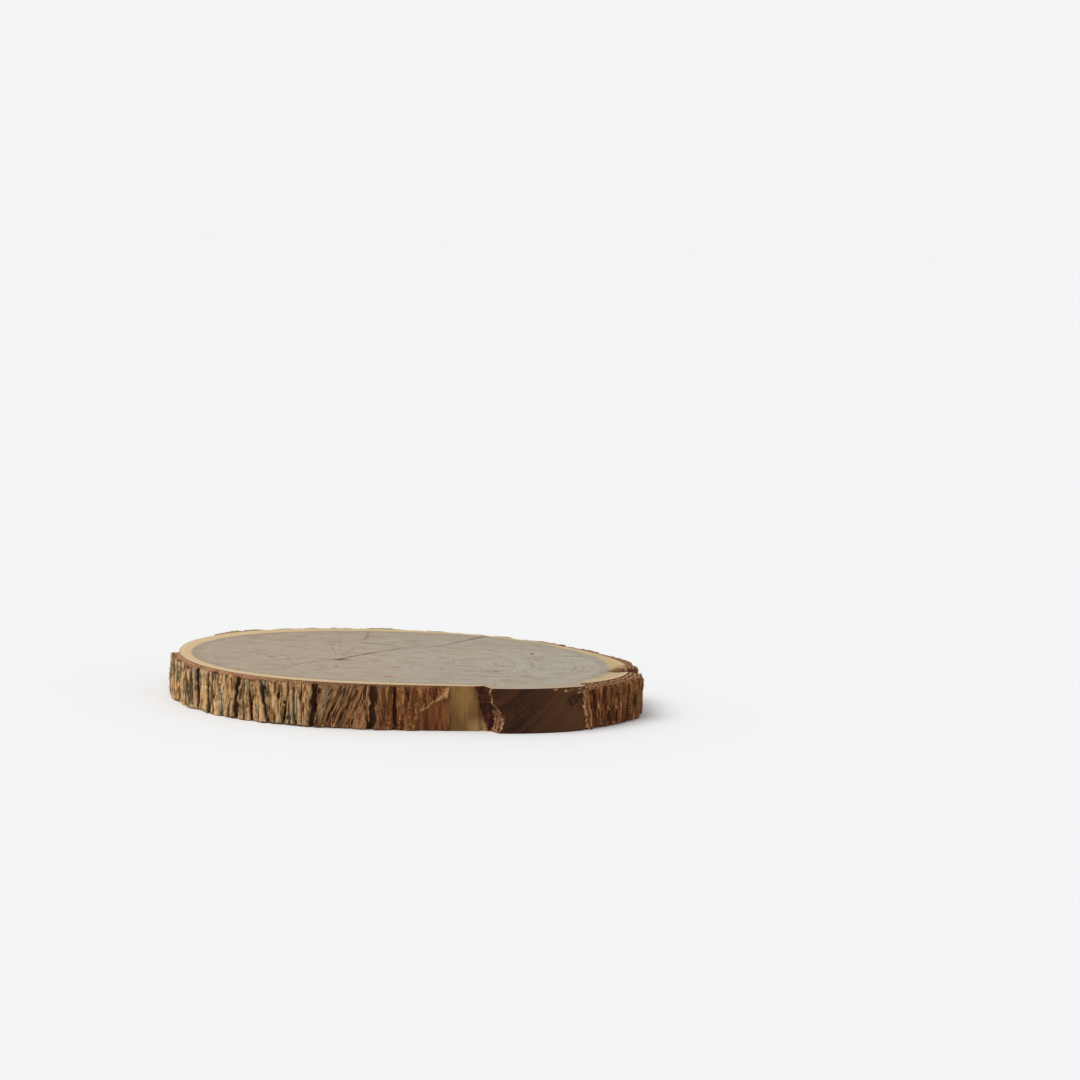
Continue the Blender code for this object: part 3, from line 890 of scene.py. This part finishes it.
def splinters(angle, height, edge, stub):
    """Pale splinters on the stub's torn left edge, wider low down, and chips along its top edge."""
    low_down = 1 - height / THICKNESS
    corner = bell(angle - edge - 0.2, 0.14) * rise(stub, 0.7, 0.95)
    broken = 0.9 - 0.4 * rise(patches(angle, 3, height, 3.0, 17), -0.1, 0.2)
    lower = rise(low_down, 0.25, 0.6) * bell(angle - edge + 0.1, 0.42) * broken
    sunk = THICKNESS - height
    chips = np.exp(-(((angle - CHIPS_AT) / 0.7) ** 2) - (sunk / (1.6 * MM)) ** 2)
    flecks = np.exp(-(((angle - FLECKS_AT) / 3.2) ** 2) - ((sunk - 1.6 * MM) / (1.6 * MM)) ** 2)
    flecks = flecks * 1.6 * rise(patches(angle, 1.4, height, 0.8, 18), -0.1, 0.7)
    return np.clip(np.maximum(corner, lower) + chips + flecks, 0, 1)


def wood_looks(points):
    """The numbers that colour the wood, from its points alone."""
    off_x, off_y = points[:, 0] - CENTRE[0], points[:, 1] - CENTRE[1]
    angle, radius = np.degrees(np.arctan2(off_y, off_x)), np.hypot(off_x, off_y)
    height = points[:, 2] - FOOT
    edge, stub = torn_edge(height), wood_wall(angle, height)[1]
    at_stub = rise(angle, *STUB_RINGS_FROM) * (1 - rise(angle, *STUB_RINGS_TO))
    to_edge = np.where(at_stub > 0.5, stub_radius(angle), wood_radius(angle)) - radius
    left = ROT_LEFT_FOOT + (ROT_LEFT_TOP - ROT_LEFT_FOOT) * height / THICKNESS
    left = left + 0.35 * jitter(height, 1.6, 20)
    off_stub = 1 - rise(stub, 0.75, 0.95)
    rotten = rise(angle, left - 0.5, left + 0.4) * off_stub * (angle < STUB_TO)
    bare = rise(angle, -73.5, -69.5) * (1 - stub) * rise(-height, -9 * MM, -2 * MM) * 0.7
    rough = np.clip(0.5 + 1.2 * patches(angle, 2.0, height, 1.1, 19), 0, 1)
    heart = lobed(angle, HEART_RADIUS, HEART_LOBES)
    return {
        "sap": (radius - heart) * (1 - at_stub) - 4 * MM * at_stub,
        "tan": at_stub * np.exp(-np.maximum(to_edge, 0) / (9 * MM)),
        # A painted highlight along the top face's edge by the stub
        "painted_edge_highlight": at_stub * bell(to_edge, 1.1 * MM) * 0.8,
        "bast": bell(to_edge, 2.0 * MM) * zone(angle, BAST),
        "cambium": bell(to_edge, 0.5 * MM) * (1 - at_stub),
        "saw": np.radians(angle) * radius * math.sin(SAW_LEAN) - height * math.cos(SAW_LEAN),
        "warm": np.clip(zone(angle, WARM), 0, 1) * stub,
        # Dark patches in the pocket, and painted shade on the step wall left of the stub's face
        "rough": np.maximum(stub_pocket(angle, height) * rough, (angle < -60) * off_stub),
        "pale": bare * 0.6,
        "torn": splinters(angle, height, edge, stub),
        "hollow": np.clip(rotten, 0, 1),
    }


def make_wood():
    """The wood as one closed body: top face, side and underside."""
    angles, owners, sides, cracks_at = wood_columns()
    count = len(angles)
    top = sawn_face(angles, owners, sides, cracks_at, TOP_RINGS, TOP, -1)
    under = sawn_face(angles, owners, sides, cracks_at, UNDER_RINGS, FOOT, 0)
    heights = np.linspace(THICKNESS, 0, WALL_ROWS)[1:-1, None]
    wall_x, wall_y = on_outline(angles, wood_wall(angles[None], heights)[0])
    wall_z = np.broadcast_to(heights + FOOT, wall_x.shape)
    wall = (wall_x, wall_y, wall_z, np.zeros(wall_x.shape), np.ones(wall_x.shape))
    x, y, z, crack, ring = (np.concatenate((top[k], wall[k], under[k][::-1])).ravel() for k in range(5))
    on_top = np.arange(len(x)) < len(top[0]) * count
    slit = pith_slit(x, y) * on_top
    wedge, wedge_dark = (open_wedge(x, y, spare) * on_top for spare in (0, WEDGE_DARK_SPREAD))
    z = z - slit * SLIT_DEPTH - wedge * WEDGE_DEPTH
    # One more point in the middle of each sawn face
    poles = [(*(CENTRE + PITH), level) for level in (TOP - SLIT_DEPTH, FOOT)]
    points = np.concatenate((np.stack((x, y, z), 1), poles))
    rows = len(top[0]) + len(heights) + len(under[0])
    faces = [face[::-1] for face in grid_faces(count, rows, closed=True)]
    last, top_pole, under_pole = (rows - 1) * count, len(points) - 2, len(points) - 1
    faces += [(top_pole, i, (i + 1) % count) for i in range(count)]
    faces += [(under_pole, last + (i + 1) % count, last + i) for i in range(count)]
    side_first, side_count = (len(top[0]) - 1) * count, (len(heights) + 1) * count
    slots = wood_slots(angles, heights, faces, side_first, side_count)
    looks = wood_looks(points)
    looks["ring"] = np.append(ring, (0, 0))
    # Painted shade in the cracks and the pith's slit, and at the top face's middle point
    looks["crack"] = np.append(np.maximum(crack, slit * 0.4), (0.4, 0))
    # Dark brown in the wedge and a little past its edge: its own colour with painted shade
    looks["wedge"] = np.append(wedge_dark, (0, 0))
    corners = np.array([face if len(face) == 4 else (*face, face[2]) for face in faces])
    places = wood_places(points, corners, side_first, side_count)
    kept = np.ones(corners.shape, bool)
    kept[[len(face) == 3 for face in faces], 3] = False
    materials = (sawn_wood("sawn_top", True), sawn_wood("sawn_underside", False), bare_wood(), stub_wood())
    return new_piece("cut_wood", points, faces, slots, materials, looks, places[kept])


# The bark

RIM_STEPS = 8
STUB_BARK_LEAN = 2.2  # degrees by which the bark's end over the stub leans
END_LEAN_OVER = 9  # degrees over which its columns lean with it
INNER_SINK = 0.2 * MM  # how far the bark's inner wall is sunk in the wood
RIM_LENGTH = 5.5 * MM  # a rim's length on the map
MAP_SPARE = 1.5 * MM  # left on the map after the last rim
MAP_MARGIN = 0.008
TUFT_RISE = (-83, -79.5)  # where the flake's curl swells to a tuft
NOTCH_AT, NOTCH_TURN = 12.6, 2.4  # the open wedge across the rim: degrees clockwise from +X, and its turn
NOTCH_WIDTH, NOTCH_WIDENS, NOTCH_DEPTH = 2.4, 0.6, 3.4 * MM


def crease(along, wide, up, tall, seed, sharpness):
    """1 on a net of creases, 0 between them."""
    return 1 - np.clip(np.abs(cells(along, wide, up, tall, seed)) * sharpness, 0, 1) ** 0.8


class Strands:
    """The bark's net of strands, hollows, crumbs and overlapping scales at some points."""

    def __init__(self, angle, height):
        run = np.radians(angle) * wood_radius(angle)
        path = run + 1.0 * MM * cells(run, 7, height, 14, 31) + 0.3 * MM * cells(run, 1.6, height, 6, 32)
        held = np.clip(0.75 + 0.7 * cells(run, 4, height, 6, 33), 0, 1)
        self.run, self.path = run, path
        self.shaggy, self.scaly = zone(angle, SHAGGY), zone(angle, SCALY)
        self.wide = crease(path, 1.25, height, 24, 34, 2.8) * held
        self.narrow = crease(path, 0.62, height, 11, 35, 2.2)
        self.thin = crease(path, 0.34, height, 5, 36, 1.8)
        self.missing = rise(cells(path, 1.1, height, 3.6, 38), 0.3, 0.42)
        self.crumbs = 0.5 + 0.5 * cells(run, 0.5, height, 0.8, 39)
        # 0 where a scale starts from under its neighbour, up to 1 at its free edge
        level = cells(path, 2.4, height, zone(angle, SCALE_HEIGHT), 40) * 2.4
        self.scales = level - np.floor(level)
        sunk = 0.5 + 0.5 * cells(path, 1.5, height, 22, 37)
        self.all = 1.0 * self.wide + 0.5 * self.narrow + 0.22 * self.thin + 0.7 * sunk + 0.5 * self.missing

    def cut(self):
        """How deep they are cut into the bark."""
        scales = self.scaly * 0.7 * (1 - self.scales)
        return (self.shaggy * self.all + 0.16 * self.crumbs + scales) * MM


def flake_line(angle):
    """Height of the torn flake's edge, without its jags."""
    return np.interp(angle, (FLAKE_LEFT, FLAKE_RIGHT), (FLAKE_LEFT_HEIGHT, FLAKE_RIGHT_HEIGHT))


def flake_edge(angle, height):
    """Height over the torn flake's edge, and 1 along the flake's stretch."""
    ragged = 0.9 * MM * noise(angle * 1.6, height * 0, 21) + 0.5 * MM * noise(angle * 4.5, height * 0, 22)
    stretch = rise(angle, FLAKE_LEFT, FLAKE_LEFT + FLAKE_SOFTNESS) * (angle < FLAKE_RIGHT + 1)
    return height - (flake_line(angle) + ragged), stretch


def back_plates(angle):
    """Thickness of the bark's plates at the back."""
    thickness = np.zeros(np.shape(angle))
    for start, end, first, middle, last in BACK_PLATES:
        t = (angle - start) / (end - start)
        crowned = first * (1 - t) * (1 - 2 * t) + middle * 4 * t * (1 - t) + last * t * (2 * t - 1)
        thickness = np.where((t >= 0) & (t < 1), BACK_SCALE * crowned * MM, thickness)
    return thickness


def from_pit(angle, height, pit_angle, pit_height):
    """How far a point is from a small hollow's middle."""
    return np.hypot(np.radians(angle - pit_angle) * wood_radius(angle), (height - pit_height) * 0.8)


def bark_highlights(angle, height, strands, torn, curl):
    """Painted highlights on the edges of the scales, the torn flake, the small hollows and the bark's end
    over the stub.
    """
    lit = np.clip(0.5 + 0.7 * cells(strands.run, 2, height, 5, 48), 0, 0.85)
    scale_highlights = strands.scaly * rise(strands.scales, 0.78, 0.96) * lit * zone(angle, HIGHLIT_EDGES)
    curl_lit = 0.55 + 0.4 * patches(angle, 1.2, height, 1.5, 45) + 0.35 * rise(angle, -82, -79)
    painted_highlight = np.clip(curl * np.clip(curl_lit, 0, 1) + scale_highlights * (1 - torn), 0, 1)
    for pit_angle, pit_height, half_width, __ in BARK_PITS:
        away = from_pit(angle, height, pit_angle, pit_height + 0.6 * MM)
        painted_highlight = np.maximum(painted_highlight, bell(away - 1.5 * half_width, 0.5 * MM))
    end_lit = bell(angle - STUB_BARK_FROM, 0.35) + 0.7 * bell(angle - STUB_BARK_FROM - 1.6, 0.25)
    return np.clip(painted_highlight + end_lit * (0.6 + 0.5 * jitter(height, 1.3, 47)), 0, 1)


def bark_looks(angle, height, strands, cracked, torn, curl):
    """The numbers that colour the bark."""
    run, path, shaggy = strands.run, strands.path, strands.shaggy
    # The hollow number is painted shade: the deeper the fissures and the creases between the strands, the
    # darker
    shadows = shaggy * (1.0 * strands.wide + 0.25 * strands.narrow + 0.5 * strands.missing)
    hollow = np.clip((cracked / MM + shadows) / 3.0, 0, 1)
    streaks = cells(path, 0.45, height, 3.2, 43) + cells(path, 1.2, height, 9, 44)
    knots = cells(run, 1.1, height, 1.4, 46)
    crest = 1 - (shaggy * strands.all + strands.scaly * 0.5 * (1 - strands.scales)) / 1.7
    crest = np.clip(crest + 0.28 * streaks + 0.2 * knots * shaggy, 0, 1.2)
    smooth = 0.42 + 0.32 * cells(run, 0.9, height, 9, 54) + 0.1 * rise(angle, -84, -79)
    strand = 0.5 + 0.5 * cells(path, 1.8, height, 20, 41) + 0.3 * cells(path, 0.7, height, 6, 42)
    strand = strand + zone(angle, GREYER)
    return {
        "hollow": hollow * (1 - torn) * (1 - curl),
        "strand": np.clip(strand * (1 - torn), 0, 1),
        "red": np.clip(np.maximum(zone(angle, REDDER), torn), 0, 1),
        "crest": crest * (1 - torn) + smooth * torn,
        "painted_highlight": bark_highlights(angle, height, strands, torn, curl),
        "tone": zone(angle, DARKER) * (1 - 0.6 * torn),
    }


def bark_relief(angle, height, fissures):
    """Bark thickness over the wood, and the numbers that colour it."""
    wood = wood_radius(angle)
    at, depths = zip(*BARK)
    thickness = np.interp(angle, at, np.array(depths) * MM, period=360) + zone(angle, FULLER) * MM
    strands = Strands(angle, height)
    cracked = fissure_depth(angle, height, wood, fissures)
    for pit_angle, pit_height, half_width, depth in BARK_PITS:
        away = from_pit(angle, height, pit_angle, pit_height)
        cracked = np.maximum(cracked, depth * bell(away, half_width))
    over, stretch = flake_edge(angle, height)
    torn = stretch * (1 - rise(over, -0.25 * MM, 0.25 * MM))
    tuft = rise(angle, *TUFT_RISE)
    curl = stretch * bell(over - 0.4 * MM, (0.4 + 1.0 * tuft) * MM)
    at_back = rise(angle, *BACK_FROM)
    plates = back_plates(angle + 0.25 * jitter(height, 3, 49))
    ridges = (thickness + plate_relief(angle, wood)) * (1 - at_back) + plates * at_back
    whole = ridges - cracked * (1 - 0.7 * at_back) - (1 - 0.65 * at_back) * strands.cut()
    bared = FLAKE_THICKNESS - (0.1 * strands.thin + 0.1 * strands.crumbs) * MM
    whole = whole * (1 - torn) + bared * torn + curl * (0.7 + 1.2 * tuft) * MM
    return np.maximum(whole, BARE_SKIN), bark_looks(angle, height, strands, cracked, torn, curl)


def rim_notch(angle, out):
    """1 in the wedge that opens across the rim at the right, 0 outside."""
    return np.exp(-(((angle + NOTCH_AT - NOTCH_TURN * out) / (NOTCH_WIDTH + NOTCH_WIDENS * out)) ** 4))


def rim_drop(angle, out, foot):
    """How far the bark's rim lies inside the cut, from its inner (0) to its outer edge (1)."""
    run = np.radians(angle) * WOOD_RADIUS
    seed = 60 if foot else 50

    def ripples(length, layers, more):
        return noise(run / (length * MM), out * layers, seed + more)

    rough = 0.16 * MM * (1 + ripples(0.9, 4, 0)) + 0.1 * MM * (1 + ripples(0.4, 9, 1))
    rough = rough * zone(angle, RIM_ROUGH)
    ragged = 0.5 + 0.75 * ripples(1.8, 0, 2) + 0.9 * ripples(0.5, 0, 3) ** 2
    fall = zone(angle, RIM_FALL) * (0.35 if foot else 1)
    drop = rough + fall * np.maximum(ragged, 0) * 1.3 * MM * out**1.6
    if not foot:
        level = np.clip(np.floor(out * 3.6 + 0.9 * ripples(3, 0, 4)), 0, 3)
        drop = drop + zone(angle, RIM_STEPPED) * level * 0.6 * MM * (0.7 + 0.5 * ripples(1.4, 0, 5))
        drop = drop + rim_notch(angle, out) * NOTCH_DEPTH
    return np.clip(drop, 0.03 * MM, 5 * MM)


def broken_end(angles, start, end, height):
    """How far the columns at a stretch's two ends lean aside at a height."""
    jag = 0.55 * jitter(height, 2.4, 51) + 0.3 * jitter(height, 0.9, 52)
    near_start = 1 - rise(angles, start, start + 3)
    near_end = rise(angles, end - 3, end)
    over_stub = (1 - height / THICKNESS) * STUB_BARK_LEAN * (start == STUB_BARK_FROM)
    return jag * (near_start + near_end) + over_stub * (1 - rise(angles, start, start + END_LEAN_OVER))


def bark_outside(angles, share, fissures):
    """Heights and radii of the rough outside, row by row, and the numbers that colour it."""
    low = rim_drop(angles, np.ones((1, 1)), True)
    high = THICKNESS - rim_drop(angles, np.ones((1, 1)), False)
    height = low + (high - low) * share
    whole, looks = bark_relief(angles, height, fissures)
    from_edge = np.minimum(height - low, high - height)
    whole = np.maximum(whole - 0.4 * MM * np.exp(-from_edge / (0.5 * MM)), BARE_SKIN)
    outer = wood_radius(angles) + whole
    # Over the stub's right end, and a bulge beside it that hides the step
    over = (0.7 + 0.5 * patches(angles, 1.5, height, 3, 53)) * MM
    on_stub = (angles < STUB_TO) * (angles > STUB_FROM)
    outer = np.where(on_stub, np.maximum(outer, stub_radius(angles) + over), outer)
    beside = rise(angles, STUB_TO - 0.1, STUB_TO) * (1 - rise(angles, STUB_TO, STUB_TO + 7))
    return height, outer + beside * np.maximum(stub_radius(angles) + 0.5 * over - outer, 0), looks


def rim_looks(angles, heights, out):
    """The numbers that colour the sawn rims."""
    looks = {label: np.broadcast_to(zone(angles, stops), heights.shape) for label, stops in RIM_LOOKS.items()}
    # deep is painted shade where the rim lies sunk under the top, and in the notch, with the notch's own dark
    # brown
    sunk = 0.6 * rise(THICKNESS - heights, 0.9 * MM, 2.4 * MM)
    deep = np.maximum(rise(rim_notch(angles, out), 0.02, 0.2), sunk) * (heights > THICKNESS / 2)
    return {**looks, "rim": np.broadcast_to(out, heights.shape), "deep": np.clip(deep, 0, 1)}


def end_faces(count, rows):
    """Triangles that close both ends, each from its lower and its upper inner corner."""
    last, half = (rows - 1) * count, rows // 2
    near = [(0, (row + 1) * count, row * count) for row in range(1, half)]
    near += [(last, (row + 1) * count, row * count) for row in range(half, rows - 2)]
    near += [(0, last, half * count)]
    return near + [(a + count - 1, c + count - 1, b + count - 1) for a, b, c in near]


def bark_places(quads, closing, ends, rim, share, radii, heights, strips):
    """Places on a stretch's map: lengths round the section upward, in strips one over another."""
    count = radii.shape[1]
    rim_lengths, share_lengths = rim[:, 0] * RIM_LENGTH, RIM_LENGTH + share[:, 0] * THICKNESS
    top_lengths = RIM_LENGTH + THICKNESS + (1 - rim[::-1, 0]) * RIM_LENGTH
    lengths = np.concatenate((rim_lengths, share_lengths, top_lengths))
    total = lengths[-1] + MAP_SPARE

    def placed(corners, first, length):
        strip = np.minimum(corners[:, first] % count * strips // (count - 1), strips - 1)[:, None]
        x = (corners % count) / (count - 1) * strips - strip
        y = (length / total + strip) / strips
        x, y = MAP_MARGIN + (1 - 2 * MAP_MARGIN) * x, MAP_MARGIN / 2 + (1 - MAP_MARGIN) * y
        return np.stack((x, y), -1).reshape(-1, 2)

    quads, closing, ends = np.array(quads), np.array(closing), np.array(ends)
    upper = closing >= (len(lengths) - 1) * count
    edge = np.where(upper, lengths[-1] + 0.4 * MM, lengths[-1] + 0.8 * MM)
    # The ends are narrow strips in the margins
    at_far = ends % count > 0
    reach = np.clip((radii.ravel()[ends] - radii[0].min()) / (10 * MM), 0, 1) * MAP_MARGIN * 0.4
    x = np.where(at_far, 1 - MAP_MARGIN / 2 - reach, MAP_MARGIN / 2 + reach)
    strip = np.where(at_far, strips - 1, 0)
    y = heights.ravel()[ends] / total / strips + (strip + RIM_LENGTH / total) / strips
    end_places = np.stack((x, MAP_MARGIN / 2 + (1 - MAP_MARGIN) * y), -1).reshape(-1, 2)
    return np.concatenate((placed(quads, 0, lengths[quads // count]), placed(closing, 3, edge), end_places))


def make_bark(name, start, end, column, bark_rows, strips, materials, fissures):
    """One stretch of bark as a closed body: rough outside, sawn rims, inner wall and ends."""
    count = int(math.radians(end - start) * WOOD_RADIUS / column)
    angles = np.linspace(start, end, count)[None]
    rim = np.linspace(0, 1, RIM_STEPS + 1)[:-1, None]
    share = np.linspace(0, 1, bark_rows)[:, None]
    # Rows lie closer together near the rims
    share = share - 0.35 * share * (1 - share) * (2 * share - 1)
    inner = wood_radius(angles) - INNER_SINK
    height, outer, looks = bark_outside(angles, share, fissures)
    foot_height = rim_drop(angles, rim, True) * rise(rim, 0, 0.2)
    top_height = THICKNESS - rim_drop(angles, rim[::-1], False) * rise(rim[::-1], -0.2, 0.2)
    heights = np.concatenate((foot_height, height, top_height))
    foot_radius, top_radius = inner + (outer[:1] - inner) * rim, inner + (outer[-1:] - inner) * rim[::-1]
    radii = np.concatenate((foot_radius, outer, top_radius))
    out = np.concatenate((rim, np.ones_like(share), rim[::-1]))
    x, y = on_outline(leaned(angles, heights) + broken_end(angles, start, end, heights), radii)
    points = np.stack((x, y, heights + FOOT), -1).reshape(-1, 3)
    still = np.zeros((RIM_STEPS, count))
    looks = {label: np.concatenate((still, values, still)) for label, values in looks.items()}
    looks.update(rim_looks(angles, heights, out))
    looks = {label: values.ravel() for label, values in looks.items()}
    rows = len(heights)
    last = (rows - 1) * count
    quads, ends = grid_faces(count, rows), end_faces(count, rows)
    closing = [(last + c, last + c + 1, c + 1, c) for c in range(count - 1)]
    band = np.arange(rows - 1)
    outside = (band >= RIM_STEPS) & (band < RIM_STEPS + bark_rows - 1)
    slots = np.repeat(np.where(outside, 0, 1), count - 1)
    slots = np.concatenate((slots, np.ones(len(closing), int), np.zeros(len(ends), int)))
    places = bark_places(quads, closing, ends, rim, share, radii, heights, strips)
    return new_piece(name, points, quads + closing + ends, slots, materials, looks, places)


# Loose fibres

FIBRE_SEED = 23
FIBRE_SIDES = 4
FIBRE_STEPS = 7
SUNKEN = 0.35  # no fibre starts where the bark is more hollow than this
# Where they grow, as (how many, angles from, to, heights from, to, least length, most length, lift, tilt)
FIBRE_PATCHES = (
    (230, -176, -114, 0.02, 0.98, 2.5 * MM, 9 * MM, 1.0 * MM, 12),
    (60, -114, -95, 0.02, 0.98, 2.5 * MM, 7 * MM, 0.6 * MM, 10),
    (26, -176, -112, 0.0, 0.05, 1.5 * MM, 4 * MM, 0.8 * MM, 18),
    (40, -44, 10, 0.05, 0.95, 3 * MM, 8 * MM, 0.6 * MM, 8),
    (70, 10, 150, 0.05, 0.95, 3 * MM, 8 * MM, 0.6 * MM, 10),
)
FLAKE_FIBRES = 30
TUFT_FIBRES = 16
TUFT_FROM, TUFT_TO = -80.0, -78.5
# The long one that stands out at the left: angle, height, length, lift, tilt, half width
LONG_FIBRE = (-174.6, 10.5 * MM, -4.5 * MM, 3.0 * MM, 5, 0.26 * MM)


def fibre(rng, radius_at, angle, height, length, lift, tilt, half_width):
    """Points of one tapered, curling fibre that lies along the bark."""
    lean = math.radians(rng.gauss(0, tilt))
    bow = rng.uniform(-0.2, 0.2)
    share = np.linspace(0, 1, FIBRE_STEPS)
    aside = length * (share * math.sin(lean) + bow * share * (1 - share))
    up = np.clip(height + length * share * math.cos(lean), 0.2 * MM, THICKNESS - 0.2 * MM)
    turn = angle + np.degrees(aside / WOOD_RADIUS)
    radius = radius_at(turn, up) + lift * share**2 - 0.25 * MM * (1 - share)
    width = half_width * (1 - 0.75 * share)
    rings = []
    for corner in range(FIBRE_SIDES):
        way = 2 * math.pi * corner / FIBRE_SIDES
        corner_turn = turn + np.degrees(width * math.cos(way) / WOOD_RADIUS)
        x, y = on_outline(corner_turn, radius + 0.6 * width * math.sin(way))
        rings.append(np.stack((x, y, FOOT + up), -1))
    return np.stack(rings, 1).reshape(-1, 3)


def make_fibres(fissures):
    """All loose fibres, as one piece of many small closed bodies."""
    rng = random.Random(FIBRE_SEED)
    made = []

    def surface(angle, height):
        return wood_radius(angle) + bark_relief(angle, height, fissures)[0]

    def grow(*shape):
        made.append(fibre(rng, surface, *shape))

    for number, start, end, low, high, short, long, lift, tilt in FIBRE_PATCHES:
        for __ in range(number):
            height = rng.uniform(low, high) * THICKNESS
            length, width = rng.uniform(short, long), rng.uniform(0.08, 0.2) * MM
            angle, stand = rng.uniform(start, end), rng.uniform(0.2, 1) * lift
            looks = bark_relief(np.array([angle]), np.array([height]), fissures)[1]
            if looks["hollow"][0] <= SUNKEN:
                grow(angle, height, length, stand, tilt, width)
    for __ in range(FLAKE_FIBRES):
        angle = rng.uniform(FLAKE_LEFT + 0.5, FLAKE_RIGHT - 0.3)
        height = float(flake_line(angle)) + rng.uniform(-0.8, 1.6) * MM
        length, width = rng.uniform(0.8, 2.0) * MM, rng.uniform(0.07, 0.14) * MM
        grow(angle, height, length, 0.8 * MM, 40, width)
    for __ in range(TUFT_FIBRES):
        angle, height = rng.uniform(TUFT_FROM, TUFT_TO), rng.uniform(0.8, 0.94) * THICKNESS
        length, width = rng.uniform(1.2, 2.8) * MM, rng.uniform(0.1, 0.18) * MM
        grow(angle, height, length, 1.0 * MM, 70, width)
    grow(*LONG_FIBRE)
    top = (FIBRE_STEPS - 1) * FIBRE_SIDES
    ends = [list(reversed(range(FIBRE_SIDES))), list(range(top, top + FIBRE_SIDES))]
    one = grid_faces(FIBRE_SIDES, FIBRE_STEPS, closed=True) + ends
    each = FIBRE_STEPS * FIBRE_SIDES
    faces = [[number * each + corner for corner in face] for number in range(len(made)) for face in one]
    slots = np.zeros(len(faces), int)
    return new_piece("loose_fibres", np.concatenate(made), faces, slots, (loose_fibre(),), {}, None)


# The studio

LENS, SENSOR = 125, 36
CAMERA_DISTANCE, CAMERA_ELEVATION = 1.9, math.radians(8.2)
CAMERA_PITCH, CAMERA_YAW, CAMERA_ROLL = math.radians(6.302), math.radians(2.001), math.radians(2.0)
SUN_STRENGTH, SUN_SPREAD, SUN_COLOUR = 1.9, math.radians(50), (1.0, 0.99, 0.975)
SUN_PLACE = Vector((-0.55, -0.35, 1.0))
# The surround's brightness, from the horizon up
SURROUND = {"From Min": 0.1, "From Max": 0.35, "To Min": 0.905, "To Max": 0.42}
FLOOR_SIZE = 14


def make_camera():
    """The photograph's view: from the front, low, and a little to the left."""
    lens = bpy.data.cameras.new("camera")
    lens.lens, lens.sensor_width = LENS, SENSOR
    lens.clip_start, lens.clip_end = 0.1, 50
    camera = bpy.context.scene.camera = in_scene("camera", lens)
    aim = Vector((CENTRE[0] - 0.3 * MM, CENTRE[1] - 15 * MM, TOP))
    place = aim + CAMERA_DISTANCE * Vector((0, -math.cos(CAMERA_ELEVATION), math.sin(CAMERA_ELEVATION)))
    turned = Matrix.Rotation(-CAMERA_YAW, 4, "Z") @ Matrix.Rotation(math.pi / 2 - CAMERA_PITCH, 4, "X")
    camera.matrix_world = Matrix.Translation(place) @ turned @ Matrix.Rotation(CAMERA_ROLL, 4, "Z")


def make_lights():
    """A soft sun from the upper left front, and a surround that is dimmer above its white horizon."""
    data = bpy.data.lights.new("soft_sun", "SUN")
    data.energy, data.angle, data.color = SUN_STRENGTH, SUN_SPREAD, SUN_COLOUR
    in_scene("soft_sun", data).rotation_euler = (-SUN_PLACE).to_track_quat("-Z", "Y").to_euler()
    world = bpy.context.scene.world = bpy.data.worlds.new("surround")
    sky = Nodes(world)
    up = sky.node("ShaderNodeSeparateXYZ", {"Vector": sky.node("ShaderNodeTexCoord", {}, "Generated")}, "Z")
    background = sky.tree.nodes["Background"].inputs
    sky.feed(background["Color"], (1, 1, 1, 1))
    sky.feed(background["Strength"], sky.node("ShaderNodeMapRange", {"Value": up, **SURROUND}))


def make_floor():
    """A pale floor just under the slice."""
    bpy.ops.mesh.primitive_plane_add(size=FLOOR_SIZE, location=(0, 0, FOOT - 0.02 * MM))
    floor = bpy.context.active_object
    floor.name = "floor"
    paint = Surface("pale_floor")
    shade = paint.noise(paint.place, 3, 2)
    base = paint.mix(shade, colour(252, 253, 254), colour(250, 251, 252))
    floor.data.materials.append(paint.finish(base, 0.95, paint.bump(shade, 0.0001, 0.1)))


def main():
    bpy.context.scene.view_settings.view_transform = "Standard"
    make_camera()
    make_lights()
    fissures = grow_fissures()
    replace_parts(make_wood(), NODE)
    materials = (rough_bark(), cut_bark())
    for stretch in BARK_STRETCHES:
        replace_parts(make_bark(*stretch, materials, fissures), NODE)
    make_fibres(fissures)
    make_floor()


main()
